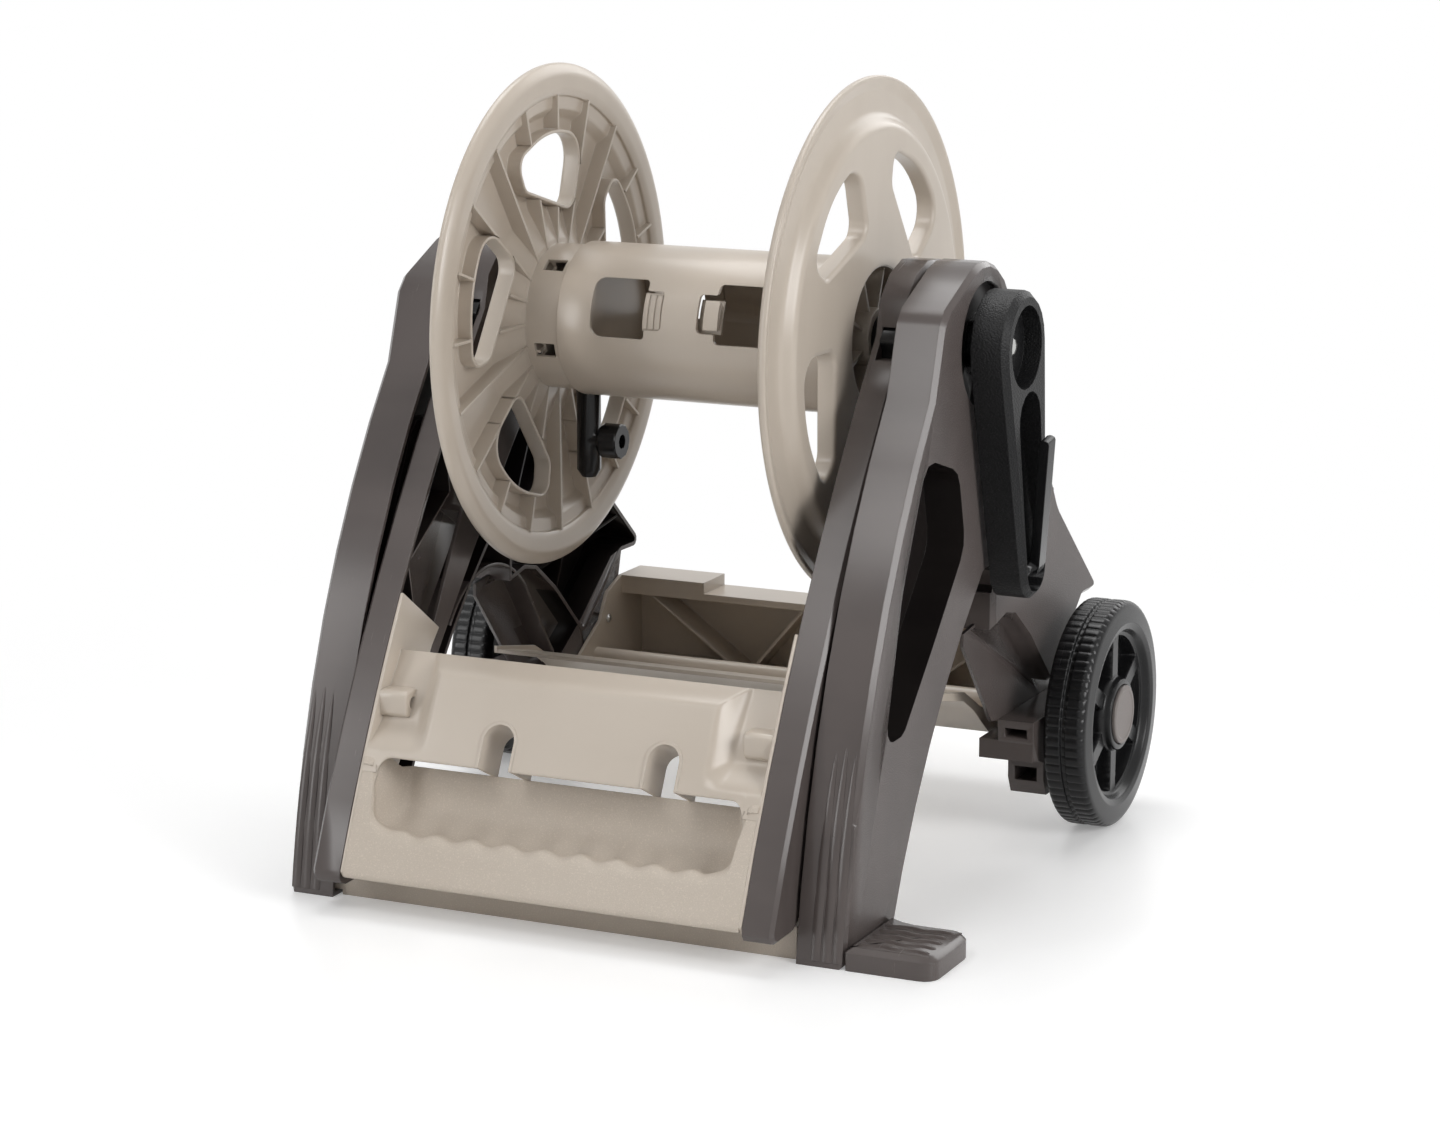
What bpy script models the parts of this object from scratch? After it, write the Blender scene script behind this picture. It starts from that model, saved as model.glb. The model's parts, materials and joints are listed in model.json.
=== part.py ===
"""Hose reel cart, one object for each piece, in metres with +Z up.

The cart stands at rest with its handle folded down. The front, where the handle is, faces -Y, and the
crank is on the +X side. While it is built, x = 0 is the middle of the cart, y = 0 the reel's axis and
z = 0 the ground. At the end the whole cart is moved so that the middle of its base is the origin.
"""

import math

import bmesh
import bpy
from mathutils import Matrix, Vector

# Clearances and the roundness of turned pieces
SEAT_GAP = 0.0003
WELD = 0.000005
RUN_GAP = 0.0002
RIM_SIDES = 36
HUB_SIDES = 24
SMALL_SIDES = 12
PIPE_SIDES = 12
SCREW_SIDES = 8
SCREW_RADIUS = 0.002
SCREW_HEAD = 0.004
BORE_SPARE = 0.010

# Reel
REEL_HEIGHT = 0.429
FLANGE_RADIUS = 0.205
REEL_CLEAR = 0.0386
RIM_THICKNESS = 0.0097
RIM_BAND = 0.027
DISC_RISE = 0.0176
DISC_WALL = 0.003
DISC_RADIUS = 0.165
RIB_COUNT = 20
RIB_WALL = 0.0022
OPENING_COUNT = 5
OPENING_WALL = 0.0025
OPENING_OUTER = 0.148
OPENING_WIDE = 0.090
OPENING_NARROW = 0.122
OPENING_HALF_ANGLE = 22.0
LEFT_OPENINGS = 23.0
RIGHT_OPENINGS = 57.0
DRUM_RADIUS = 0.0625
DRUM_WALL = 0.003
DRUM_BARE = 0.0274
DRUM_SEAM = 0.003
JOIN_LENGTH = 0.015
COLLAR_LENGTH = 0.0474
HUB_SINK = 0.0099
HUB_FINS = 8
WINDOW_WIDTH = 0.047
WINDOW_HEIGHT = 0.046
WINDOW_RISE = 0.018
SHAFT_RADIUS = 0.018
SHAFT_SQUARE = 0.0235
JOURNAL_BORE = 0.0135
SLOT_LENGTH = 0.018
SLOT_WIDTH = 0.012

# Water path
TUBE_RADIUS = 0.010
TUBE_BORE = 0.006
TUBE_SET = 0.0244
TUBE_DROP = 0.132
OUTLET_DROP = 0.101
OUTLET_RADIUS = 0.0146
OUTLET_LENGTH = 0.018
SPIGOT_RADIUS = 0.0092
INLET_REACH = 0.024
NUT_RADIUS = 0.0165
NUT_HEIGHT = 0.028
NUT_TOP = 0.051
SOCKET_SINK = 0.048
SOCKET_END = 0.023

# Side frames
SKIN_X = 0.238
FRAME_DEPTH = 0.039
FRAME_WALL = 0.0035
FRAME_EDGE = 0.004
HUB_RADIUS = 0.065
SLEEVE_RADIUS = 0.030
SLEEVE_WALL = 0.0045
DISH_RADIUS = 0.050
DISH_DEPTH = 0.0075
LATTICE_WALL = 0.0022
POCKET_DEPTH = 0.031
AXLE_Y = 0.186
PANEL_SET = 0.0195
PANEL_WALL = 0.003

# Wheels and axle
WHEEL_RADIUS = 0.095
WHEEL_WIDTH = 0.039
WHEEL_GAP = 0.018
WHEEL_POCKETS = 6
WHEEL_SIDES = 28
AXLE_RADIUS = 0.006
CAP_RADIUS = 0.0245
CAP_PROUD = 0.0015

# Handle
ARM_GAP = 0.003
ARM_WIDTH = 0.025
ARM_WALL = 0.003
ARM_DEPTH = 0.046
ARM_FOOT = (-0.309, 0.030)
ARM_BOTTOM = 0.0215
ARM_TOP_Y = -0.060
ARM_TOP_RISE = 0.011
ARM_BOW = 0.018
ARM_HEAD = 0.065
MOULD_WALL = 0.003
SLOT_LOW = 0.067
SLOT_TOP = 0.118
PANEL_TOP = 0.184
CHEEK_TOP = 0.2347
SLOT_INSET = 0.0127
CENTRE_INSET = 0.0407
END_SETBACK = 0.014
NOTCH_WIDTH = 0.026
NOTCH_HEIGHT = 0.034
NOTCH_DEPTH = 0.035
NOTCHES = (-0.056, 0.084)
HANDLE_SCREW = (-0.236, 0.155)
CATCH_FRONT = -0.084
CATCH_REAR = -0.048
CATCH_LOW = -0.006
CATCH_HIGH = 0.018

# Crank
CRANK_GAP = 0.005
CRANK_DEPTH = 0.030
CRANK_HUB = 0.0445
CRANK_END = 0.025
CRANK_REACH = 0.1825
CRANK_LEAN = 9.46
CRANK_RIM = 0.005
GRIP_LENGTH = 0.111
GRIP_WIDTH = 0.015
GRIP_THICKNESS = 0.008
GRIP_OPEN = 7.0
PIN_RADIUS = 0.002
CRANK_SCREW = 0.0035

# Cross members and foot
BAR_FRONT = -0.262
BAR_DEPTH = 0.047
BAR_HEIGHT = 0.0255
BAR_WALL = 0.0035
TRAY_WALL = 0.003
TRAY_REAR = 0.279
TRAY_FLOOR = 0.078
TRAY_TOP = 0.149
TRAY_STEP = 0.010
TRAY_LIP_Y = 0.235
TRAY_TUBE = 0.0087
TRAY_RAISED = 0.083
TRAY_END_Y = 0.207
VEE_FOOT = 0.1185
VEE_GAP = 0.013
VEE_TOPS = (0.017, 0.182)
TRAY_SCREW = (0.208, 0.125)
FOOT_WIDTH = 0.071
FOOT_FRONT = -0.272
FOOT_REAR = -0.195
FOOT_HEIGHT = 0.018
FOOT_HOOK = 0.009
FOOT_TONGUE = (-0.250, -0.210)
PLUG_SCREW_INSET = 0.021
PLUG_SCREW_Y = -0.228

# Places worked out from the sizes above
FRAME_INNER = SKIN_X - FRAME_DEPTH
ARM_OUTER = FRAME_INNER - ARM_GAP
ARM_INNER = ARM_OUTER - ARM_WIDTH
MOULD_HALF = ARM_INNER - SEAT_GAP
SLOT_HALF = MOULD_HALF - SLOT_INSET
CENTRE_HALF = MOULD_HALF - CENTRE_INSET
ARM_TOP = (ARM_TOP_Y, REEL_HEIGHT + ARM_TOP_RISE)
WHEEL_INNER = SKIN_X + WHEEL_GAP
WHEEL_OUTER = WHEEL_INNER + WHEEL_WIDTH
CRANK_INNER = SKIN_X + CRANK_GAP
CRANK_OUTER = CRANK_INNER + CRANK_DEPTH
HALF_GAP = ARM_INNER - REEL_CLEAR
DRUM_LEFT_END = DRUM_BARE - HALF_GAP
COLLAR_REACH = HALF_GAP - COLLAR_LENGTH
HUB_FLOOR = HALF_GAP - HUB_SINK
TUBE_X = TUBE_SET - HALF_GAP
INLET_X = -SKIN_X - INLET_REACH
PANEL_X = SKIN_X - PANEL_SET
PLUG_SCREW = (SKIN_X - PLUG_SCREW_INSET, PLUG_SCREW_Y)
DISC_OUTER = HALF_GAP + DISC_RISE
DISC_FLOOR = DISC_OUTER - DISC_WALL
COLLAR_RADIUS = DRUM_RADIUS - DRUM_WALL - SEAT_GAP
COLLAR_INNER = COLLAR_RADIUS - DRUM_WALL
SLEEVE_BORE = SLEEVE_RADIUS - SLEEVE_WALL
SLEEVE_END = ARM_INNER - 0.003
DISH_FLOOR = SKIN_X - DISH_DEPTH
FOOT_OUTER = SKIN_X + FOOT_WIDTH
HUB = (0.0, REEL_HEIGHT)
AXLE = (AXLE_Y, WHEEL_RADIUS)
PART_NAME = "hose_reel_cart"


class Colours:
    """Material settings, as colour, roughness and metallic."""

    BEIGE = ("beige_plastic", (0.55, 0.50, 0.44), 0.45, 0.0)
    TAUPE = ("taupe_plastic", (0.12, 0.105, 0.10), 0.42, 0.0)
    BLACK = ("black_plastic", (0.015, 0.015, 0.017), 0.45, 0.0)
    RUBBER = ("black_rubber", (0.02, 0.02, 0.02), 0.8, 0.0)
    STEEL = ("zinc_steel", (0.60, 0.60, 0.60), 0.30, 1.0)


def clear_scene():
    """Take away whatever the scene holds."""
    for item in list(bpy.data.objects):
        bpy.data.objects.remove(item, do_unlink=True)


def new_collection(name, parent, hidden=False):
    """Make a collection inside another."""
    group = bpy.data.collections.new(name)
    group.hide_render = hidden
    parent.children.link(group)
    return group


def material(settings):
    """Find or make the Principled material of these settings."""
    name, colour, roughness, metallic = settings
    found = bpy.data.materials.get(name)
    if found:
        return found
    made = bpy.data.materials.new(name)
    made.use_nodes = True
    shader = made.node_tree.nodes["Principled BSDF"]
    shader.inputs["Base Color"].default_value = (*colour, 1.0)
    shader.inputs["Roughness"].default_value = roughness
    shader.inputs["Metallic"].default_value = metallic
    made.diffuse_color = (*colour, 1.0)
    return made


def plain(points):
    """Points as corners with no rounding."""
    return [(a, b, 0.0) for a, b in points]


def bowed(start, end, rise, steps):
    """Points of the arc from start to end that stands off its chord, to the left, by rise."""
    along = Vector(end) - Vector(start)
    half = along.length / 2
    left = Vector((-along.y, along.x)).normalized()
    radius = (half * half + rise * rise) / (2 * rise)
    centre = (Vector(start) + Vector(end)) / 2 + left * (rise - radius)
    first = Vector(start) - centre
    turn = -2 * math.asin(half / radius)
    points = []
    for step in range(steps + 1):
        angle = turn * step / steps
        spun = Matrix.Rotation(angle, 2) @ first
        points.append((centre.x + spun.x, centre.y + spun.y))
    return points


def round_about(centre, radius, first, last, steps):
    """Points of a circle about centre, from one angle in degrees to another."""
    points = []
    for step in range(steps + 1):
        angle = math.radians(first + (last - first) * step / steps)
        points.append((centre[0] + radius * math.cos(angle), centre[1] + radius * math.sin(angle)))
    return points


def rounded(corners, coarse=38.0):
    """The outline of these corners, each (a, b, radius), with its corners cut round."""
    points = []
    count = len(corners)
    for index, (a, b, radius) in enumerate(corners):
        here = Vector((a, b))
        if radius <= 0:
            points.append((a, b))
            continue
        before = Vector(corners[index - 1][:2]) - here
        after = Vector(corners[(index + 1) % count][:2]) - here
        opening = before.angle(after)
        reach = min(radius / math.tan(opening / 2), 0.45 * before.length, 0.45 * after.length)
        bend = math.pi - opening
        steps = max(1, round(math.degrees(bend) / coarse))
        start = here + before.normalized() * reach
        end = here + after.normalized() * reach
        radius = reach * math.tan(opening / 2)
        middle = (before.normalized() + after.normalized()).normalized()
        centre = here + middle * (radius / math.sin(opening / 2))
        first = start - centre
        turn = first.angle_signed(end - centre)
        for step in range(steps + 1):
            spun = Matrix.Rotation(-turn * step / steps, 2) @ first
            points.append((centre.x + spun.x, centre.y + spun.y))
    return points


def area_of(points):
    """Twice the signed area inside these points, positive when they run anticlockwise."""
    total = 0.0
    for index, point in enumerate(points):
        last = points[index - 1]
        total += last[0] * point[1] - point[0] * last[1]
    return total


def inset(corners, wall):
    """The corners moved into the outline by the wall, with their radii to match."""
    if area_of(corners) < 0:
        corners = corners[::-1]
    moved = []
    count = len(corners)
    for index, (a, b, radius) in enumerate(corners):
        here = Vector((a, b))
        arriving = (here - Vector(corners[index - 1][:2])).normalized()
        leaving = (Vector(corners[(index + 1) % count][:2]) - here).normalized()
        normal = Vector((-arriving.y - leaving.y, arriving.x + leaving.x)).normalized()
        across = normal.dot(Vector((-arriving.y, arriving.x)))
        spot = here + normal * (wall / max(across, 0.3))
        convex = arriving.cross(leaving) > 0
        if radius > 0:
            radius = max(radius - wall, 0.0) if convex else radius + wall
        moved.append((spot.x, spot.y, radius))
    return moved


def thickened(path, wall):
    """The closed outline of a sheet that has this path as its right side and this wall."""
    far = []
    for index, point in enumerate(path):
        here = Vector(point)
        before = path[max(index - 1, 0)]
        after = path[min(index + 1, len(path) - 1)]
        arriving = (here - Vector(before)).normalized() if index else None
        leaving = (Vector(after) - here).normalized() if index < len(path) - 1 else None
        arriving = arriving or leaving
        leaving = leaving or arriving
        normal = Vector((-arriving.y - leaving.y, arriving.x + leaving.x)).normalized()
        across = normal.dot(Vector((-arriving.y, arriving.x)))
        spot = here + normal * (wall / max(across, 0.5))
        far.append((spot.x, spot.y))
    return list(path) + far[::-1]


AXES = {
    "X": Matrix(((0, 0, 1, 0), (1, 0, 0, 0), (0, 1, 0, 0), (0, 0, 0, 1))),
    "Y": Matrix(((1, 0, 0, 0), (0, 0, -1, 0), (0, 1, 0, 0), (0, 0, 0, 1))),
    "Z": Matrix.Identity(4),
}


def soften_rim(mesh, level, width, steps):
    """Round the edge between the cap at this level and the sides."""
    work = bmesh.new()
    work.from_mesh(mesh)
    edges = []
    for edge in work.edges:
        if any(abs(corner.co.z - level) > 1e-6 for corner in edge.verts):
            continue
        if len(edge.link_faces) == 2 and edge.calc_face_angle(0.0) > 1.0:
            edges.append(edge)
    bmesh.ops.bevel(
        work, geom=edges, offset=width, offset_type="OFFSET", segments=steps, profile=0.5, affect="EDGES"
    )
    work.to_mesh(mesh)
    work.free()


def prism(name, outline, low, high, axis="X", frame=None, rim=0.0, rim_high=True, rim_steps=1):
    """A flat outline given thickness from low to high along an axis.

    The outline is (y, z) along X, (x, z) along Y and (x, y) along Z.
    """
    curve = bpy.data.curves.new(name, "CURVE")
    curve.dimensions = "2D"
    curve.fill_mode = "BOTH"
    curve.extrude = abs(high - low) / 2
    spline = curve.splines.new("POLY")
    spline.points.add(len(outline) - 1)
    for point, (a, b) in zip(spline.points, outline):
        point.co = (a, b, 0.0, 1.0)
    spline.use_cyclic_u = True
    guide = bpy.data.objects.new(name, curve)
    middle = (low + high) / 2
    offset = Vector((0, 0, -middle if axis == "Y" else middle))
    placed = (frame or Matrix.Identity(4)) @ AXES[axis] @ Matrix.Translation(offset)
    mesh = bpy.data.meshes.new_from_object(guide)
    mesh.name = name
    bpy.data.objects.remove(guide, do_unlink=True)
    bpy.data.curves.remove(curve)
    work = bmesh.new()
    work.from_mesh(mesh)
    bmesh.ops.remove_doubles(work, verts=work.verts, dist=1e-6)
    bmesh.ops.recalc_face_normals(work, faces=work.faces)
    caps = [face for face in work.faces if abs(face.normal.z) > 0.9]
    bmesh.ops.dissolve_faces(work, faces=caps)
    work.to_mesh(mesh)
    work.free()
    if rim:
        rim_side = 1 if rim_high != (axis == "Y") else -1
        soften_rim(mesh, rim_side * abs(high - low) / 2, rim, rim_steps)
    made = bpy.data.objects.new(name, mesh)
    made.matrix_world = placed
    return made


def side_prism(name, outline, inner, outer, side, **options):
    """A prism along X between two distances from the middle, on the side +1 or -1."""
    low, high = sorted((side * inner, side * outer))
    return prism(name, outline, low, high, "X", rim_high=side > 0, **options)


def box(name, low, high, frame=None):
    """A block between two corners."""
    work = bmesh.new()
    bmesh.ops.create_cube(work, size=1.0)
    size = Vector(high) - Vector(low)
    bmesh.ops.scale(work, vec=size, verts=work.verts)
    bmesh.ops.translate(work, vec=(Vector(low) + Vector(high)) / 2, verts=work.verts)
    mesh = bpy.data.meshes.new(name)
    work.to_mesh(mesh)
    work.free()
    made = bpy.data.objects.new(name, mesh)
    made.matrix_world = frame or Matrix.Identity(4)
    return made


def side_box(name, inner, outer, low, high, side):
    """A block along X between two distances from the middle; low and high are (y, z)."""
    near, far = sorted((side * inner, side * outer))
    return box(name, (near, *low), (far, *high))


def turned(name, profile, frame, sides=HUB_SIDES):
    """A profile of (radius, height) turned about the frame's Z axis.

    A profile that starts and ends on the axis is open, and any other is a closed ring section.
    """
    ring = profile[0][0] > 0 or profile[-1][0] > 0
    if ring:
        forward = area_of(profile) > 0
    else:
        forward = profile[0][1] < profile[-1][1]
    points = profile[::-1] if forward else profile
    mesh = bpy.data.meshes.new(name)
    edges = [(index, index + 1) for index in range(len(points) - 1)]
    if ring:
        edges.append((len(points) - 1, 0))
    mesh.from_pydata([(radius, 0.0, height) for radius, height in points], edges, [])
    made = bpy.data.objects.new(name, mesh)
    made.matrix_world = frame
    screw = made.modifiers.new("Turn", "SCREW")
    screw.steps = sides
    screw.render_steps = sides
    screw.use_merge_vertices = True
    screw.merge_threshold = 1e-5
    screw.use_smooth_shade = True
    return made


def outward(side, y=0.0, z=REEL_HEIGHT):
    """The frame whose Z axis points away from the middle along X on this side."""
    if side > 0:
        turn = Matrix(((0, 0, 1, 0), (0, 1, 0, 0), (-1, 0, 0, 0), (0, 0, 0, 1)))
    else:
        turn = Matrix(((0, 0, -1, 0), (0, 1, 0, 0), (1, 0, 0, 0), (0, 0, 0, 1)))
    return Matrix.Translation((0, y, z)) @ turn


def rod(name, radius, low, high, frame, sides=HUB_SIDES):
    """A cylinder along the frame's Z axis, from low to high."""
    return turned(name, [(0, high), (radius, high), (radius, low), (0, low)], frame, sides)


def running(radius, sides=HUB_SIDES):
    """The bore in which a turned piece of this radius turns freely."""
    return (radius + RUN_GAP) / math.cos(math.pi / sides)


def about_hub(share):
    """The frame at the reel's axis, turned about X by this share of a whole turn."""
    return Matrix.Translation((0, 0, REEL_HEIGHT)) @ Matrix.Rotation(2 * math.pi * share, 4, "X")


def label(side):
    """The word for a side."""
    return "right" if side > 0 else "left"


class Cart:
    """The collections and empties that hold the pieces."""

    def __init__(self):
        scene = bpy.context.scene.collection
        self.parts = new_collection(PART_NAME, scene)
        self.tools = new_collection(PART_NAME + "_cutters", scene, hidden=True)
        self.groups = 0
        self.root = self.empty("cart_axes", (0, 0, 0))

    def empty(self, name, place, lean=0.0):
        """An empty on a joint's axis."""
        made = bpy.data.objects.new(name, None)
        made.empty_display_size = 0.03
        made.matrix_world = Matrix.Translation(place) @ Matrix.Rotation(math.radians(lean), 4, "X")
        self.parts.objects.link(made)
        if name != "cart_axes":
            self.hold(made, self.root)
        return made

    def hold(self, item, parent):
        """Parent an object without moving it."""
        item.parent = parent
        item.matrix_parent_inverse = parent.matrix_world.inverted()

    def combine(self, target, pieces, operation):
        """Join shapes to a target or cut them from it, all at once."""
        self.groups += 1
        group = new_collection(f"{target.name}_{operation.lower()}_{self.groups}", self.tools, hidden=True)
        for piece in pieces:
            piece.hide_render = True
            piece.display_type = "WIRE"
            group.objects.link(piece)
            self.hold(piece, self.root)
        change = target.modifiers.new(f"{operation.title()} {self.groups}", "BOOLEAN")
        change.operation = operation
        change.operand_type = "COLLECTION"
        change.collection = group
        change.solver = "EXACT"

    def join(self, target, *pieces):
        """Join shapes to a target."""
        self.combine(target, pieces, "UNION")

    def cut(self, target, *pieces):
        """Cut shapes from a target."""
        self.combine(target, pieces, "DIFFERENCE")

    def add(self, piece, colours, parent=None):
        """Put a finished piece in the part's collection, on its empty."""
        self.parts.objects.link(piece)
        piece.data.materials.append(material(colours))
        if any(change.type == "BOOLEAN" for change in piece.modifiers):
            weld = piece.modifiers.new("Weld", "WELD")
            weld.merge_threshold = WELD
        self.hold(piece, parent or self.root)
        return piece

    def settle(self):
        """Shade the turned pieces smooth and move the cart so that its base's middle is the origin."""
        for piece in self.parts.objects:
            if piece.type == "MESH" and piece.data.polygons:
                piece.data.shade_smooth()
                piece.data.set_sharp_from_angle(angle=math.radians(35))
        foremost = min(y for y, z in rounded(arm_corners()))
        low = Vector((-WHEEL_OUTER - CAP_PROUD, foremost))
        high = Vector((FOOT_OUTER, AXLE_Y + WHEEL_RADIUS))
        self.root.location = (-(low.x + high.x) / 2, -(low.y + high.y) / 2, 0.0)


def arm_front(height):
    """How far forward the arm's front edge lies at a height."""
    along = Vector(ARM_TOP) - Vector(ARM_FOOT)
    half = along.length / 2
    radius = (half * half + ARM_BOW * ARM_BOW) / (2 * ARM_BOW)
    left = Vector((-along.y, along.x)).normalized()
    centre = (Vector(ARM_TOP) + Vector(ARM_FOOT)) / 2 + left * (ARM_BOW - radius)
    return centre.x - math.sqrt(radius**2 - (height - centre.y) ** 2)


def frame_corners():
    """The side frame seen from the side: front leg, hub, rear fender and the arch between."""
    front = bowed((FOOT_FRONT, 0.0), (-0.1055, REEL_HEIGHT - 0.029), 0.029, 8)
    hub = round_about(HUB, HUB_RADIUS, 113, 32, 5)
    leg = bowed((0.000, 0.240), (-0.177, 0.0), -0.017, 6)
    corners = plain(front)
    corners.append((-0.084, REEL_HEIGHT + 0.034, 0.020))
    corners += plain(hub)
    corners.append((0.177, 0.270, 0.030))
    corners.append((0.283, 0.1795, 0.006))
    corners.append((0.240, 0.1800, 0.004))
    corners.append((0.166, 0.1195, 0.008))
    corners.append((0.112, 0.1700, 0.030))
    corners.append((0.068, 0.2015, 0.025))
    corners.append((0.030, 0.1940, 0.0))
    corners.append((0.030, 0.2460, 0.003))
    corners.append((0.006, 0.2460, 0.006))
    corners += plain(leg[1:])
    return corners


def pocket_corners():
    """The long teardrop recess in the front leg."""
    return [
        (-0.118, 0.358, 0.020),
        (-0.165, 0.262, 0.060),
        (-0.196, 0.152, 0.012),
        (-0.160, 0.153, 0.012),
        (-0.098, 0.213, 0.060),
        (-0.036, 0.276, 0.024),
        (-0.052, 0.338, 0.022),
    ]


def panel_corners():
    """The inner panel that closes the rear of the arch and reaches down to the axle."""
    return [
        (0.0055, 0.184, 0.0),
        (0.0705, 0.108, 0.0),
        (0.152, 0.0945, 0.0),
        (0.200, 0.1000, 0.0),
        (0.232, 0.1770, 0.0),
        (0.166, 0.1230, 0.0),
        (0.112, 0.1735, 0.0),
        (0.068, 0.2050, 0.0),
        (0.0285, 0.1975, 0.0),
        (0.0055, 0.195, 0.0),
    ]


def axle_box_corners():
    """The closed box below the rear fender that holds the axle."""
    return [
        (0.122, 0.110, 0.0),
        (0.150, 0.0935, 0.0),
        (0.158, 0.076, 0.008),
        (0.186, 0.066, 0.020),
        (0.214, 0.076, 0.012),
        (0.243, 0.182, 0.0),
        (0.222, 0.1785, 0.0),
        (0.163, 0.1345, 0.0),
    ]


def strut(start, end, wall):
    """The outline of a thin straight rib between two points."""
    along = (Vector(end) - Vector(start)).normalized()
    across = Vector((-along.y, along.x)) * (wall / 2)
    ends = [Vector(start) + across, Vector(start) - across, Vector(end) - across, Vector(end) + across]
    return [(point.x, point.y) for point in ends]


LATTICE = (
    ((-0.232, 0.140), (-0.176, 0.052)),
    ((-0.250, 0.102), (-0.160, 0.065)),
    ((0.168, 0.285), (0.012, 0.250)),
    ((0.110, 0.378), (0.028, 0.225)),
    ((0.240, 0.212), (0.090, 0.192)),
    ((0.172, 0.276), (0.120, 0.168)),
    ((0.092, 0.404), (-0.040, 0.280)),
)


def build_frame(cart, side):
    """One side frame: a moulded shell, open on its inner side, with a lattice of thin ribs inside."""
    name = f"frame_{label(side)}"
    corners = frame_corners()
    shell = side_prism(name, rounded(corners), FRAME_INNER, SKIN_X, side, rim=FRAME_EDGE)
    hollow = rounded(inset(corners, FRAME_WALL))
    cart.cut(shell, side_prism("shell_hollow", hollow, FRAME_INNER - 0.01, SKIN_X - FRAME_WALL, side))
    inside = SKIN_X - FRAME_WALL / 2
    recess = pocket_corners()
    cup_floor = SKIN_X - POCKET_DEPTH
    ribs = [
        side_prism(f"lattice_{index}", strut(*ends, LATTICE_WALL), FRAME_INNER + 0.003, inside, side)
        for index, ends in enumerate(LATTICE)
    ]
    cup = side_prism("cup", rounded(inset(recess, -FRAME_WALL)), cup_floor - FRAME_WALL, inside, side)
    pad_radius = DISH_RADIUS + 0.005
    pad_face = DISH_FLOOR - FRAME_WALL
    boss = [(0, SLEEVE_END), (SLEEVE_RADIUS, SLEEVE_END), (SLEEVE_RADIUS, pad_face)]
    boss += [(pad_radius, pad_face), (pad_radius, inside), (0, inside)]
    sleeve = turned("sleeve", boss, outward(side))
    panel = side_prism("inner_panel", rounded(panel_corners()), PANEL_X, PANEL_X + PANEL_WALL, side)
    box_end = PANEL_X + PANEL_WALL
    block = side_prism("axle_box", rounded(axle_box_corners()), FRAME_INNER + 0.0006, box_end, side)
    cart.join(shell, *ribs, cup, sleeve, panel, block)
    near, far = FRAME_INNER - BORE_SPARE, PANEL_X + PANEL_WALL + BORE_SPARE
    hole_end = PANEL_X - 0.005
    plug_place = upright(side * PLUG_SCREW[0], PLUG_SCREW[1])
    cuts = [
        side_prism("teardrop", rounded(recess), cup_floor, SKIN_X + 0.01, side),
        rod("dish", DISH_RADIUS, DISH_FLOOR, SKIN_X + 0.01, outward(side)),
        rod("sleeve_bore", SLEEVE_BORE, SLEEVE_END - 0.01, SKIN_X + 0.01, outward(side)),
        rod("axle_bore", running(AXLE_RADIUS, SMALL_SIDES), near, far, outward(side, *AXLE), SMALL_SIDES),
        rod("screw_hole", SCREW_RADIUS + SEAT_GAP, near, hole_end, outward(side, *TRAY_SCREW), SMALL_SIDES),
        rod("plug_screw_hole", 0.0045, -0.01, 0.01, plug_place, SMALL_SIDES),
    ]
    if side > 0:
        low = (FOOT_TONGUE[0] - SEAT_GAP, 0.004)
        high = (FOOT_TONGUE[1] + SEAT_GAP, FOOT_HEIGHT - 0.004 + SEAT_GAP)
        cuts.append(box("foot_slot", (SKIN_X - 0.01, *low), (SKIN_X + 0.01, *high)))
    cart.cut(shell, *cuts)
    cart.add(shell, Colours.TAUPE)


def upright(x, y, z=0.0):
    """The frame at this place whose Z axis points up."""
    return Matrix.Translation((x, y, z))


def build_screw(cart, name, length, frame, parent=None, radius=SCREW_RADIUS, head=SCREW_HEAD):
    """A round-headed screw whose head's underside is at height 0 and whose shank runs below."""
    profile = [
        (0, 0.6 * head),
        (0.6 * head, 0.5 * head),
        (head, 0.15 * head),
        (head, 0),
        (radius, 0),
        (radius, radius - length),
        (0, -length),
    ]
    cart.add(turned(name, profile, frame, SCREW_SIDES), Colours.STEEL, parent)


def build_bearing(cart, side):
    """The plain bush in the frame's sleeve, with a flange at its inner end."""
    outer = SLEEVE_BORE - SEAT_GAP
    bore = running(SHAFT_RADIUS)
    end = DISH_FLOOR - 0.0005
    flange = SLEEVE_END - SEAT_GAP
    profile = [
        (bore, end),
        (outer, end),
        (outer, flange),
        (SLEEVE_RADIUS - 0.001, flange),
        (SLEEVE_RADIUS - 0.001, flange - 0.003),
        (bore, flange - 0.003),
    ]
    cart.add(turned(f"bearing_{label(side)}", profile, outward(side)), Colours.BLACK)


def build_foot(cart):
    """The step foot that clips into the crank side's front leg."""
    corners = [
        (SKIN_X + SEAT_GAP, FOOT_FRONT, 0.002),
        (FOOT_OUTER, FOOT_FRONT, 0.012),
        (FOOT_OUTER, FOOT_REAR, 0.014),
        (SKIN_X + 0.022, FOOT_REAR, 0.020),
        (SKIN_X + SEAT_GAP, FOOT_REAR + 0.012, 0.0),
    ]
    foot = prism("step_foot", rounded(corners, 20.0), 0.0, FOOT_HEIGHT, "Z", rim=0.004)
    tongue = box(
        "tongue",
        (SKIN_X - FRAME_WALL - FOOT_HOOK, FOOT_TONGUE[0], 0.0043),
        (SKIN_X + 0.01, FOOT_TONGUE[1], FOOT_HEIGHT - 0.004),
    )
    cart.join(foot, tongue)
    groove = box(
        "clip_groove",
        (SKIN_X - FRAME_WALL - 0.006, FOOT_TONGUE[0] - 0.01, 0.009),
        (SKIN_X - FRAME_WALL - 0.0005, FOOT_TONGUE[1] + 0.01, FOOT_HEIGHT),
    )
    cart.cut(foot, groove)
    cart.add(foot, Colours.TAUPE)


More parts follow.
